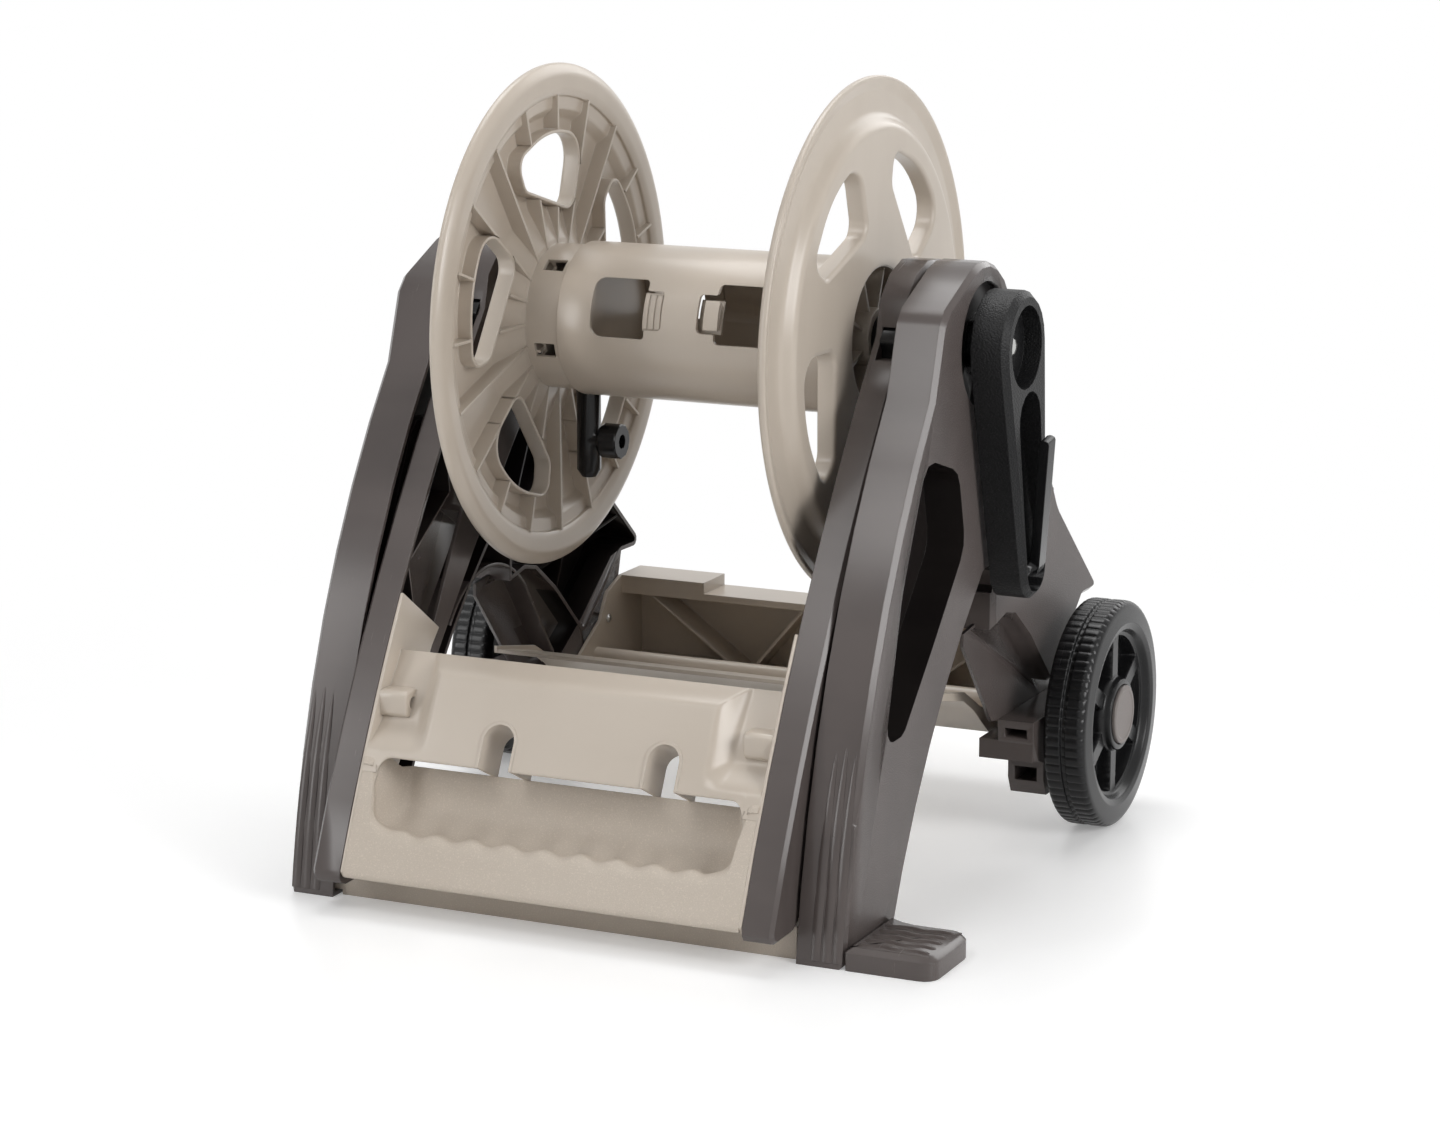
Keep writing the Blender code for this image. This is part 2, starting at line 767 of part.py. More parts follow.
def build_crossbar(cart):
    """The front cross bar: a channel open below, with a plug in each leg."""
    rear = BAR_FRONT + BAR_DEPTH
    path = [(rear, 0.0), (rear, BAR_HEIGHT), (BAR_FRONT, BAR_HEIGHT), (BAR_FRONT, 0.0)]
    half = FRAME_INNER - 0.0035
    bar = prism("front_crossbar", thickened(path, BAR_WALL), -half, half)
    low = (BAR_FRONT + 0.001, FRAME_WALL + SEAT_GAP)
    high = (rear - 0.001, BAR_HEIGHT - 0.001)
    reach = SKIN_X - FRAME_WALL - FOOT_HOOK - 0.0015
    plugs = [side_box("plug", half - 0.012, reach, low, high, side) for side in (-1, 1)]
    cart.join(bar, *plugs)
    hole = SCREW_RADIUS + SEAT_GAP
    holes = [
        rod("plug_hole", hole, -BORE_SPARE, 0.024, upright(side * PLUG_SCREW[0], PLUG_SCREW[1]), SMALL_SIDES)
        for side in (-1, 1)
    ]
    cart.cut(bar, *holes)
    cart.add(bar, Colours.BEIGE)
    flip = Matrix.Rotation(math.pi, 4, "X")
    for side in (-1, 1):
        place = upright(side * PLUG_SCREW[0], PLUG_SCREW[1], FRAME_WALL - SEAT_GAP) @ flip
        build_screw(cart, f"crossbar_screw_{label(side)}", 0.018, place)


def build_tray(cart):
    """The rear tray between the frames: sloping floor, rear wall with a stepped lip, and V ribs."""
    wall = TRAY_WALL
    floor = TRAY_FLOOR
    path = [
        (0.0, 0.1385),
        (0.066, 0.1235),
        (0.089, 0.1105),
        (0.124, floor + 0.006),
        (0.148, floor),
        (TRAY_REAR, floor),
        (TRAY_REAR, TRAY_TOP),
    ]
    end_inner = FRAME_INNER - SEAT_GAP - wall
    end_outer = FRAME_INNER - SEAT_GAP
    tray = prism("rear_tray", thickened(path, wall), -end_inner - 0.001, end_inner + 0.001)
    lip = TRAY_LIP_Y
    low_ledge = [(TRAY_REAR - 0.001, TRAY_TOP), (lip, TRAY_TOP), (lip, TRAY_TOP - 0.006)]
    top = TRAY_TOP + TRAY_STEP
    high_ledge = [(TRAY_REAR, TRAY_TOP - 0.010), (TRAY_REAR, top), (lip, top), (lip, TRAY_TOP - 0.006)]
    ends = [(0.0, 0.1385), (0.066, 0.1235), (0.089, 0.1105), (0.124, floor + 0.006), (0.148, floor)]
    ends += [(TRAY_REAR, floor), (TRAY_REAR, top), (lip, top), (TRAY_END_Y, TRAY_TOP), (0.193, 0.126)]
    ends += [(0.168, 0.112), (0.138, 0.094), (0.100, 0.113), (0.068, 0.1305), (0.0, 0.1445)]
    raised_end = FRAME_INNER - TRAY_RAISED
    pieces = [prism("low_ledge", thickened(low_ledge, wall), -raised_end, raised_end)]
    across = outward(1, *AXLE)
    pieces.append(rod("axle_tube", TRAY_TUBE, -end_inner - 0.001, end_inner + 0.001, across, SMALL_SIDES))
    web_low = (-end_inner - 0.001, AXLE_Y - wall / 2, floor + 0.0005)
    web_high = (end_inner + 0.001, AXLE_Y + wall / 2, WHEEL_RADIUS - AXLE_RADIUS - 0.001)
    pieces.append(box("axle_web", web_low, web_high))
    vee_foot = floor + 0.002
    for side in (-1, 1):
        pieces.append(side_prism("end_wall", ends, end_inner, end_outer, side))
        raised = thickened(high_ledge, wall)
        half = wall / 2
        pieces.append(side_prism("high_ledge", raised, raised_end - half, end_inner + 0.001, side))
        low, high = (lip + 0.0005, TRAY_TOP - 0.004), (TRAY_REAR - 0.001, top - 0.0005)
        pieces.append(side_box("step", raised_end - half, raised_end + half, low, high, side))
        for start, lean in zip(VEE_TOPS, (-0.5, 0.5)):
            head = side * (FRAME_INNER - start)
            foot = side * (FRAME_INNER - VEE_FOOT - lean * VEE_GAP)
            bar = strut((head, TRAY_TOP - 0.001), (foot, vee_foot), 0.0025)
            pieces.append(prism("vee_rib", bar, lip + 0.012, TRAY_REAR - 0.001, "Y"))
    cart.join(tray, *pieces)
    far = end_outer + BORE_SPARE
    cuts = [rod("axle_way", running(AXLE_RADIUS, SMALL_SIDES), -far, far, across, SMALL_SIDES)]
    for side in (-1, 1):
        near = end_inner - BORE_SPARE
        screw_place = outward(side, *TRAY_SCREW)
        cuts.append(rod("screw_way", SCREW_RADIUS + SEAT_GAP, near, far, screw_place, SMALL_SIDES))
    cart.cut(tray, *cuts)
    cart.add(tray, Colours.BEIGE)
    for side in (-1, 1):
        place = Matrix.Translation((side * (end_inner - SEAT_GAP), *TRAY_SCREW)) @ inward(side)
        build_screw(cart, f"tray_screw_{label(side)}", 0.016, place)


def inward(side):
    """A turn whose Z axis points to the middle of the cart."""
    return outward(-side, 0.0, 0.0)


def opening_outline(centre):
    """One teardrop opening about this angle in degrees: (y, z) seen along X."""
    half = OPENING_HALF_ANGLE
    marks = [
        (OPENING_WIDE, centre - half, 0.013),
        (OPENING_OUTER, centre - half, 0.014),
        (OPENING_OUTER + 0.003, centre - half / 3, 0.0),
        (OPENING_OUTER + 0.003, centre + half / 3, 0.0),
        (OPENING_OUTER, centre + half, 0.010),
        (OPENING_NARROW, centre + half, 0.010),
    ]
    corners = []
    for radius, angle, round_radius in marks:
        turn = math.radians(angle)
        corners.append((radius * math.cos(turn), REEL_HEIGHT + radius * math.sin(turn), round_radius))
    return corners


def flange_profile(side):
    """The flange's section as (radius, distance from the middle)."""
    edge = FLANGE_RADIUS
    band = FLANGE_RADIUS - RIM_BAND
    face = HALF_GAP
    back = HALF_GAP + RIM_THICKNESS
    disc = DISC_RADIUS
    ring = [
        (disc, DISC_OUTER),
        (disc + 0.006, back + 0.0005),
        (disc + 0.013, back - 0.0023),
        (edge - 0.003, back),
        (edge, back - 0.003),
        (edge, face + 0.003),
        (edge - 0.003, face),
        (band + 0.004, face),
        (band, face + 0.004),
        (disc + 0.002, back - 0.003),
        (disc - 0.004, DISC_FLOOR),
        (COLLAR_INNER + 0.001, DISC_FLOOR),
        (COLLAR_INNER + 0.001, DISC_OUTER),
    ]
    floor = HUB_FLOOR
    collar = [
        (COLLAR_INNER, DISC_OUTER - 0.0005),
        (COLLAR_RADIUS, DISC_OUTER - 0.0005),
        (COLLAR_RADIUS, COLLAR_REACH),
        (COLLAR_INNER, COLLAR_REACH),
        (COLLAR_INNER, floor),
    ]
    if side > 0:
        hub = [(CRANK_SCREW + SEAT_GAP, floor), (CRANK_SCREW + SEAT_GAP, DISC_OUTER)]
        hub += [(SHAFT_RADIUS + 0.005, DISC_OUTER), (SHAFT_RADIUS + 0.005, floor + DISC_WALL)]
    else:
        end = DISH_FLOOR - 0.003
        hub = [(JOURNAL_BORE, floor), (JOURNAL_BORE, end)]
        hub += [(SHAFT_RADIUS, end), (SHAFT_RADIUS, floor + DISC_WALL)]
    return ring, collar + hub + [(COLLAR_INNER, floor + DISC_WALL)]


def build_flange(cart, side, axis):
    """One reel flange: dished disc, ribs, walled openings, and the collar and hub the drum sits on."""
    name = f"flange_{label(side)}"
    ring, hub = flange_profile(side)
    disc = turned(name, ring, outward(side), RIM_SIDES)
    additions = [turned("hub", hub, outward(side))]
    back = HALF_GAP + RIM_THICKNESS
    rib = [
        (side * (HALF_GAP + 0.001), COLLAR_RADIUS - 0.001),
        (side * (DISC_FLOOR + 0.001), COLLAR_RADIUS - 0.001),
        (side * (DISC_FLOOR + 0.001), DISC_RADIUS - 0.004),
        (side * (back - 0.002), DISC_RADIUS + 0.004),
        (side * (back - 0.0045), FLANGE_RADIUS - RIM_BAND + 0.0015),
        (side * (HALF_GAP + 0.001), FLANGE_RADIUS - RIM_BAND + 0.0015),
    ]
    for index in range(RIB_COUNT):
        turn = about_hub(index / RIB_COUNT)
        additions.append(prism(f"rib_{index}", rib, -RIB_WALL / 2, RIB_WALL / 2, "Z", turn))
    for index in range(HUB_FINS):
        turn = about_hub((index + 0.5) / HUB_FINS)
        near, far = sorted((side * (HUB_FLOOR + 0.002), side * (DISC_OUTER - 0.006)))
        reach = (near, SHAFT_RADIUS - 0.001, -0.00125)
        additions.append(box(f"fin_{index}", reach, (far, COLLAR_INNER + 0.001, 0.00125), turn))
    first = RIGHT_OPENINGS if side > 0 else LEFT_OPENINGS
    openings = [opening_outline(first + 360 * index / OPENING_COUNT) for index in range(OPENING_COUNT)]
    for corners in openings:
        wall = rounded(inset(corners, -OPENING_WALL), 50.0)
        additions.append(side_prism("opening_wall", wall, HALF_GAP + 0.002, DISC_OUTER - 0.0005, side))
    cart.join(disc, *additions)
    past = DISC_OUTER + BORE_SPARE
    cuts = [side_prism("opening", rounded(corners, 50.0), HUB_FLOOR, past, side) for corners in openings]
    if side > 0:
        half = SHAFT_SQUARE / 2 + SEAT_GAP
        square = [(-half, REEL_HEIGHT - half), (half, REEL_HEIGHT - half)]
        square += [(half, REEL_HEIGHT + half), (-half, REEL_HEIGHT + half)]
        lean = crank_frame() @ Matrix.Translation((0, 0, -REEL_HEIGHT))
        shoulder = DISC_OUTER - 0.0075
        cuts.append(prism("square", square, HUB_FLOOR + DISC_WALL, shoulder + 0.001, "X", lean))
        cuts.append(rod("shaft_bore", running(SHAFT_RADIUS), shoulder, past, outward(side)))
    else:
        cuts += collar_slots()
        cuts.append(tube_way())
    cart.cut(disc, *cuts)
    cart.add(disc, Colours.BEIGE, axis)


def collar_slots():
    """Slots round the part of the left collar that the drum leaves bare."""
    middle = (DRUM_LEFT_END - HALF_GAP) / 2
    slots = []
    for index in range(OPENING_COUNT - 1):
        angle = math.radians(52 - 72 * index - (20 if index > 1 else 0))
        turn = Matrix.Translation((0, 0, REEL_HEIGHT)) @ Matrix.Rotation(-angle, 4, "X")
        low = (middle - SLOT_LENGTH / 2, -DRUM_RADIUS - BORE_SPARE, -SLOT_WIDTH / 2)
        high = (middle + SLOT_LENGTH / 2, BORE_SPARE - DRUM_RADIUS, SLOT_WIDTH / 2)
        slots.append(box(f"slot_{index}", low, high, turn))
    return slots


def tube_way():
    """The round way down through the collar and the drum's edge for the water tube."""
    return rod("tube_way", TUBE_RADIUS + 0.0012, -0.08, -0.03, upright(TUBE_X, 0.0, REEL_HEIGHT), PIPE_SIDES)


def window(name, x, side, low_x, high_x, tall):
    """A round-cornered window in the drum's front or back: side is -1 for the front."""
    middle = REEL_HEIGHT - side * WINDOW_RISE
    corners = [
        (x + low_x, middle - tall / 2, 0.006),
        (x + high_x, middle - tall / 2, 0.006),
        (x + high_x, middle + tall / 2, 0.006),
        (x + low_x, middle + tall / 2, 0.006),
    ]
    near, far = sorted((side * 0.035, side * 0.08))
    return prism(name, rounded(corners, 45.0), near, far, "Y")


def build_drum(cart, side, axis):
    """One half of the drum: a tube over the flange's collar, with windows and snap slots."""
    if side < 0:
        seam = DRUM_SEAM - SEAT_GAP / 2
        neck = DRUM_RADIUS - DRUM_WALL - SEAT_GAP
        profile = [
            (DRUM_RADIUS, DRUM_LEFT_END),
            (DRUM_RADIUS, seam),
            (neck, seam),
            (neck, seam + JOIN_LENGTH),
            (neck - DRUM_WALL, seam + JOIN_LENGTH),
            (neck - DRUM_WALL, seam - 0.010),
            (DRUM_RADIUS - DRUM_WALL, seam - 0.014),
            (DRUM_RADIUS - DRUM_WALL, DRUM_LEFT_END),
        ]
        centre = seam - 0.0545
        slot = (seam - 0.031, seam - 0.016)
    else:
        seam = DRUM_SEAM + SEAT_GAP / 2
        end = HALF_GAP + 0.0006
        wall = DRUM_RADIUS - DRUM_WALL
        profile = [(DRUM_RADIUS, seam), (DRUM_RADIUS, end), (wall, end), (wall, seam)]
        centre = seam + 0.0545
        slot = (seam + 0.016, seam + 0.031)
    drum = turned(f"drum_{label(side)}", profile, outward(1))
    cuts = []
    for face in (-1, 1):
        half = WINDOW_WIDTH / 2
        cuts.append(window("window", centre, face, -half, half, WINDOW_HEIGHT))
        cuts.append(window("snap_slot", 0.0, face, slot[0] - 0.002, slot[1] + 0.002, 0.030))
    if side < 0:
        cuts.append(tube_way())
    cart.cut(drum, *cuts)
    cart.add(drum, Colours.BEIGE, axis)


def build_water_tube(cart, axis):
    """The reel's own water tube: a socket on the axis, and the tube that drops out of the drum."""
    socket_end = SKIN_X - SOCKET_END
    centre = outward(-1)
    tube = rod("water_tube", JOURNAL_BORE - SEAT_GAP, -TUBE_X - 0.010, socket_end, centre, PIPE_SIDES)
    drop = upright(TUBE_X, 0.0, REEL_HEIGHT)
    bevel = 0.006
    tip = [(0, 0.009), (TUBE_RADIUS, 0.009), (TUBE_RADIUS, bevel - TUBE_DROP)]
    tip += [(bevel, -TUBE_DROP), (0, -TUBE_DROP)]
    side_pipe = Matrix.Translation((TUBE_X, 0, REEL_HEIGHT - OUTLET_DROP)) @ outward(1, 0, 0)
    cart.join(
        tube,
        turned("drop", tip, drop, PIPE_SIDES),
        rod("spur", 0.0095, 0.0, 0.012, side_pipe, PIPE_SIDES),
    )
    cart.cut(
        tube,
        rod("socket", running(SPIGOT_RADIUS, PIPE_SIDES), SKIN_X - SOCKET_SINK, SKIN_X, centre, PIPE_SIDES),
        rod("way_in", TUBE_BORE, -TUBE_X - 0.004, SKIN_X - SOCKET_SINK + 0.010, centre, SMALL_SIDES),
        rod("way_down", TUBE_BORE, -OUTLET_DROP - 0.006, 0.004, drop, SMALL_SIDES),
        rod("way_out", TUBE_BORE, -0.002, 0.02, side_pipe, SMALL_SIDES),
    )
    cart.add(tube, Colours.BLACK, axis)
    start = 0.012 + SEAT_GAP
    profile = [
        (TUBE_BORE, start),
        (0.0125, start),
        (OUTLET_RADIUS, start + 0.003),
        (OUTLET_RADIUS, start + OUTLET_LENGTH - 0.001),
        (OUTLET_RADIUS - 0.001, start + OUTLET_LENGTH),
        (TUBE_BORE, start + OUTLET_LENGTH),
    ]
    cart.add(turned("outlet_coupling", profile, side_pipe, PIPE_SIDES), Colours.BLACK, axis)


def build_inlet(cart, axis):
    """The fixed inlet elbow on the left frame, its seal, and the swivel nut below it."""
    left = outward(-1)
    flange = DISH_FLOOR + SEAT_GAP
    reach = SKIN_X - SOCKET_SINK + 0.002
    groove = (reach + 0.007, reach + 0.0102)
    outer = -INLET_X + 0.010
    profile = [
        (TUBE_BORE - 0.001, reach),
        (SPIGOT_RADIUS, reach),
        (SPIGOT_RADIUS, groove[0]),
        (0.0068, groove[0]),
        (0.0068, groove[1]),
        (SPIGOT_RADIUS, groove[1]),
        (SPIGOT_RADIUS, flange),
        (0.030, flange),
        (0.030, flange + 0.003),
        (0.017, flange + 0.006),
        (0.017, outer),
        (0.013, outer + 0.006),
        (TUBE_BORE - 0.001, outer + 0.006),
    ]
    elbow = turned("inlet_elbow", profile, left, PIPE_SIDES)
    plug = rod("end_plug", 0.008, outer - 0.004, outer + 0.0055, left, PIPE_SIDES)
    drop = upright(INLET_X, 0.0, REEL_HEIGHT)
    lip = NUT_TOP + 0.010
    pipe_profile = [(0, -0.010), (0.0115, -0.010), (0.0115, -lip), (0.0130, -lip - 0.001)]
    pipe_profile += [(0.0130, -lip - 0.004), (0, -lip - 0.004)]
    cart.join(elbow, turned("pipe", pipe_profile, drop, PIPE_SIDES), plug)
    cart.cut(elbow, rod("pipe_bore", TUBE_BORE, -0.09, 0.0, drop, SMALL_SIDES))
    cart.add(elbow, Colours.BLACK)
    middle = (groove[0] + groove[1]) / 2
    seal = [(0.0071 + 0.0012 * (1 + math.cos(a)), middle + 0.0013 * math.sin(a)) for a in turn_angles(6)]
    cart.add(turned("inlet_seal", seal, left, PIPE_SIDES), Colours.RUBBER)
    bore = running(0.0115, PIPE_SIDES)
    inner = running(0.0131, PIPE_SIDES)
    bottom = NUT_TOP + NUT_HEIGHT
    nut = [
        (bore, -NUT_TOP),
        (NUT_RADIUS - 0.002, -NUT_TOP),
        (NUT_RADIUS, -NUT_TOP - 0.002),
        (NUT_RADIUS, -bottom),
        (inner, -bottom),
        (inner, -lip + 0.0005),
        (bore, -lip + 0.0005),
    ]
    cart.add(turned("inlet_nut", nut, drop, PIPE_SIDES), Colours.BLACK, axis)


def turn_angles(count):
    """Equal angles round a circle, in radians."""
    return [2 * math.pi * index / count for index in range(count)]


def crank_frame():
    """The crank's own frame: origin on the reel's axis, its Z axis leaning with the crank."""
    return Matrix.Translation((0, 0, REEL_HEIGHT)) @ Matrix.Rotation(math.radians(CRANK_LEAN), 4, "X")


def capsule(top, top_radius, bottom, bottom_radius, steps):
    """The outline round two circles, one above the other, as (y, z)."""
    lean = math.degrees(math.asin((top_radius - bottom_radius) / (top - bottom)))
    upper = round_about((0, top), top_radius, -lean, 180 + lean, steps)
    lower = round_about((0, bottom), bottom_radius, 180 + lean, 360 - lean, steps)
    return upper + lower


def build_crank(cart, axis):
    """The crank arm, with its shaft and square end, and the pockets for the screw and the grip."""
    frame = crank_frame()
    turn = frame @ outward(1, 0, 0)
    outline = capsule(0.0, CRANK_HUB, -CRANK_REACH, CRANK_END, 12)
    arm = prism("crank_arm", outline, CRANK_INNER, CRANK_OUTER, "X", frame, rim=CRANK_RIM)
    shoulder = DISC_OUTER - 0.0075
    half = SHAFT_SQUARE / 2
    square = [(-half, -half), (half, -half), (half, half), (-half, half)]
    start = HUB_FLOOR + DISC_WALL + SEAT_GAP
    cart.join(
        arm,
        rod("shaft", SHAFT_RADIUS, shoulder + SEAT_GAP, CRANK_INNER + 0.005, turn),
        prism("square_end", square, start, shoulder + 0.002, "X", frame),
        rod("collar", 0.026, CRANK_INNER - 0.004, CRANK_INNER + 0.002, turn),
    )
    hub_floor = CRANK_OUTER - 0.015
    slot = capsule(-0.060, 0.0235, -CRANK_REACH, CRANK_END - 0.005, 8)
    pin_x = CRANK_OUTER - 0.0065
    across = pin_frame(frame, pin_x)
    pin_hole = PIN_RADIUS + 0.0004
    cart.cut(
        arm,
        rod("hub_pocket", 0.033, hub_floor, CRANK_OUTER + 0.01, turn),
        prism("grip_pocket", slot, CRANK_OUTER - 0.018, CRANK_OUTER + 0.01, "X", frame),
        rod("screw_bore", CRANK_SCREW + SEAT_GAP, start - 0.01, CRANK_OUTER, turn, SMALL_SIDES),
        rod("pin_way", pin_hole, -CRANK_END + 0.002, CRANK_END - 0.002, across, SMALL_SIDES),
    )
    cart.add(arm, Colours.BLACK, axis)
    nut_face = HUB_FLOOR - SEAT_GAP
    screw_frame = turn @ Matrix.Translation((0, 0, hub_floor + SEAT_GAP))
    length = hub_floor - nut_face + 0.008
    build_screw(cart, "crank_screw", length, screw_frame, axis, CRANK_SCREW, 0.009)
    bore = running(CRANK_SCREW, SMALL_SIDES) + 0.0001
    nut_low = nut_face - 0.005
    nut_ring = [(bore, nut_low), (bore, nut_face), (0.0075, nut_face), (0.0075, nut_low)]
    nut = turned("crank_nut", nut_ring, turn, 6)
    hole = rod("nut_hole", bore + 0.0004, nut_low - 0.01, nut_face + 0.01, turn, SMALL_SIDES)
    cart.cut(nut, hole)
    cart.add(nut, Colours.STEEL, axis)
    build_grip(cart, frame, pin_x, axis)


def pin_frame(frame, pin_x):
    """The frame on the grip's hinge whose Z axis runs along the pin."""
    return frame @ Matrix.Translation((pin_x, 0, -CRANK_REACH)) @ Matrix.Rotation(-math.pi / 2, 4, "X")


def build_grip(cart, frame, pin_x, reel_axis):
    """The folding grip on its pin, standing a little open."""
    place = frame @ Matrix.Translation((pin_x, 0, -CRANK_REACH))
    hinge = cart.empty("grip_axis", place.translation, CRANK_LEAN)
    cart.hold(hinge, reel_axis)
    across = pin_frame(frame, pin_x)
    pin_end = CRANK_END - 0.0025
    cart.add(rod("crank_pin", PIN_RADIUS, -pin_end, pin_end, across, SMALL_SIDES), Colours.STEEL, reel_axis)
    swing = place @ Matrix.Rotation(math.radians(GRIP_OPEN), 4, "Y")
    near = 0.003
    far = near + GRIP_THICKNESS
    side_view = [
        (near, 0.004, 0.0),
        (far, 0.000, 0.003),
        (far, GRIP_LENGTH, 0.003),
        (near, GRIP_LENGTH, 0.003),
    ]
    half = GRIP_WIDTH / 2
    bar = prism("crank_grip", rounded(side_view), -half, half, "Y", swing)
    barrel = CRANK_END - 0.008
    web = [(-0.002, -0.002), (far - 0.001, -0.001), (far - 0.001, 0.012), (near + 0.001, 0.012)]
    cart.join(
        bar,
        rod("barrel", 0.0055, -barrel, barrel, across, SMALL_SIDES),
        prism("web", web, -half, half, "Y", swing),
    )
    pin_bore = running(PIN_RADIUS, SMALL_SIDES) + RUN_GAP
    cart.cut(bar, rod("pin_bore", pin_bore, -0.03, 0.03, across, SMALL_SIDES))
    cart.add(bar, Colours.BLACK, hinge)


def arm_corners():
    """The handle arm seen from the side: bowed front edge, round head about the reel's axis."""
    front = bowed(ARM_FOOT, ARM_TOP, ARM_BOW, 8)
    head = round_about(HUB, ARM_HEAD, 168, -44, 9)
    rear_low = (ARM_FOOT[0] + ARM_DEPTH, ARM_BOTTOM + 0.001)
    rear = bowed(head[-1], rear_low, -0.010, 5)
    corners = [(arm_front(ARM_BOTTOM), ARM_BOTTOM, 0.009)]
    corners += plain(front[1:])
    corners += plain(head[1:])
    corners += plain(rear[1:-1])
    corners.append((*rear_low, 0.014))
    return corners


def build_arm(cart, side, axis):
    """One handle arm: a channel open to the rear, with a hub ring on the frame's sleeve."""
    corners = arm_corners()
    arm = side_prism(f"arm_{label(side)}", rounded(corners), ARM_INNER, ARM_OUTER, side, rim=0.003)
    front = bowed(ARM_FOOT, ARM_TOP, ARM_BOW, 6)
    hollow = [(y + 0.0045, z) for y, z in front if z < 0.37]
    hollow[0] = (hollow[0][0] + 0.002, hollow[0][1] - 0.001)
    hollow += [(hollow[-1][0] + 0.13, hollow[-1][1] - 0.08), (hollow[0][0] + 0.09, hollow[0][1] + 0.002)]
    notch = (side * (ARM_INNER + 0.005), side * (ARM_OUTER - 0.005))
    catch_low = (CATCH_FRONT, REEL_HEIGHT + CATCH_LOW)
    catch_high = (CATCH_REAR, REEL_HEIGHT + CATCH_HIGH)
    near, far = ARM_INNER - BORE_SPARE, ARM_OUTER + BORE_SPARE
    screw_end = ARM_INNER + 0.012
    screw_place = outward(side, *HANDLE_SCREW)
    cart.cut(
        arm,
        side_prism("hollow", hollow, ARM_INNER + ARM_WALL, ARM_OUTER - ARM_WALL, side),
        rod("ring_bore", running(SLEEVE_RADIUS), near, far, outward(side)),
        box("notch", (min(notch), *catch_low), (max(notch), *catch_high)),
        rod("screw_way", SCREW_RADIUS + SEAT_GAP, near, screw_end, screw_place, SMALL_SIDES),
    )
    cart.add(arm, Colours.TAUPE, axis)
    gap = SEAT_GAP
    profile = [
        (catch_high[0] - gap, catch_low[1] + gap, 0.0),
        (catch_high[0] - gap, catch_high[1] - gap, 0.0),
        (-0.056, catch_high[1] - gap, 0.002),
        (-0.066, catch_low[1] + 0.014, 0.002),
        (-0.060, catch_low[1] + 0.006, 0.0),
        (-0.060, catch_low[1] + gap, 0.0),
    ]
    inner, outer = ARM_INNER + 0.005 + gap, ARM_OUTER - 0.005 - gap
    cart.add(side_prism(f"latch_{label(side)}", rounded(profile), inner, outer, side), Colours.BLACK, axis)


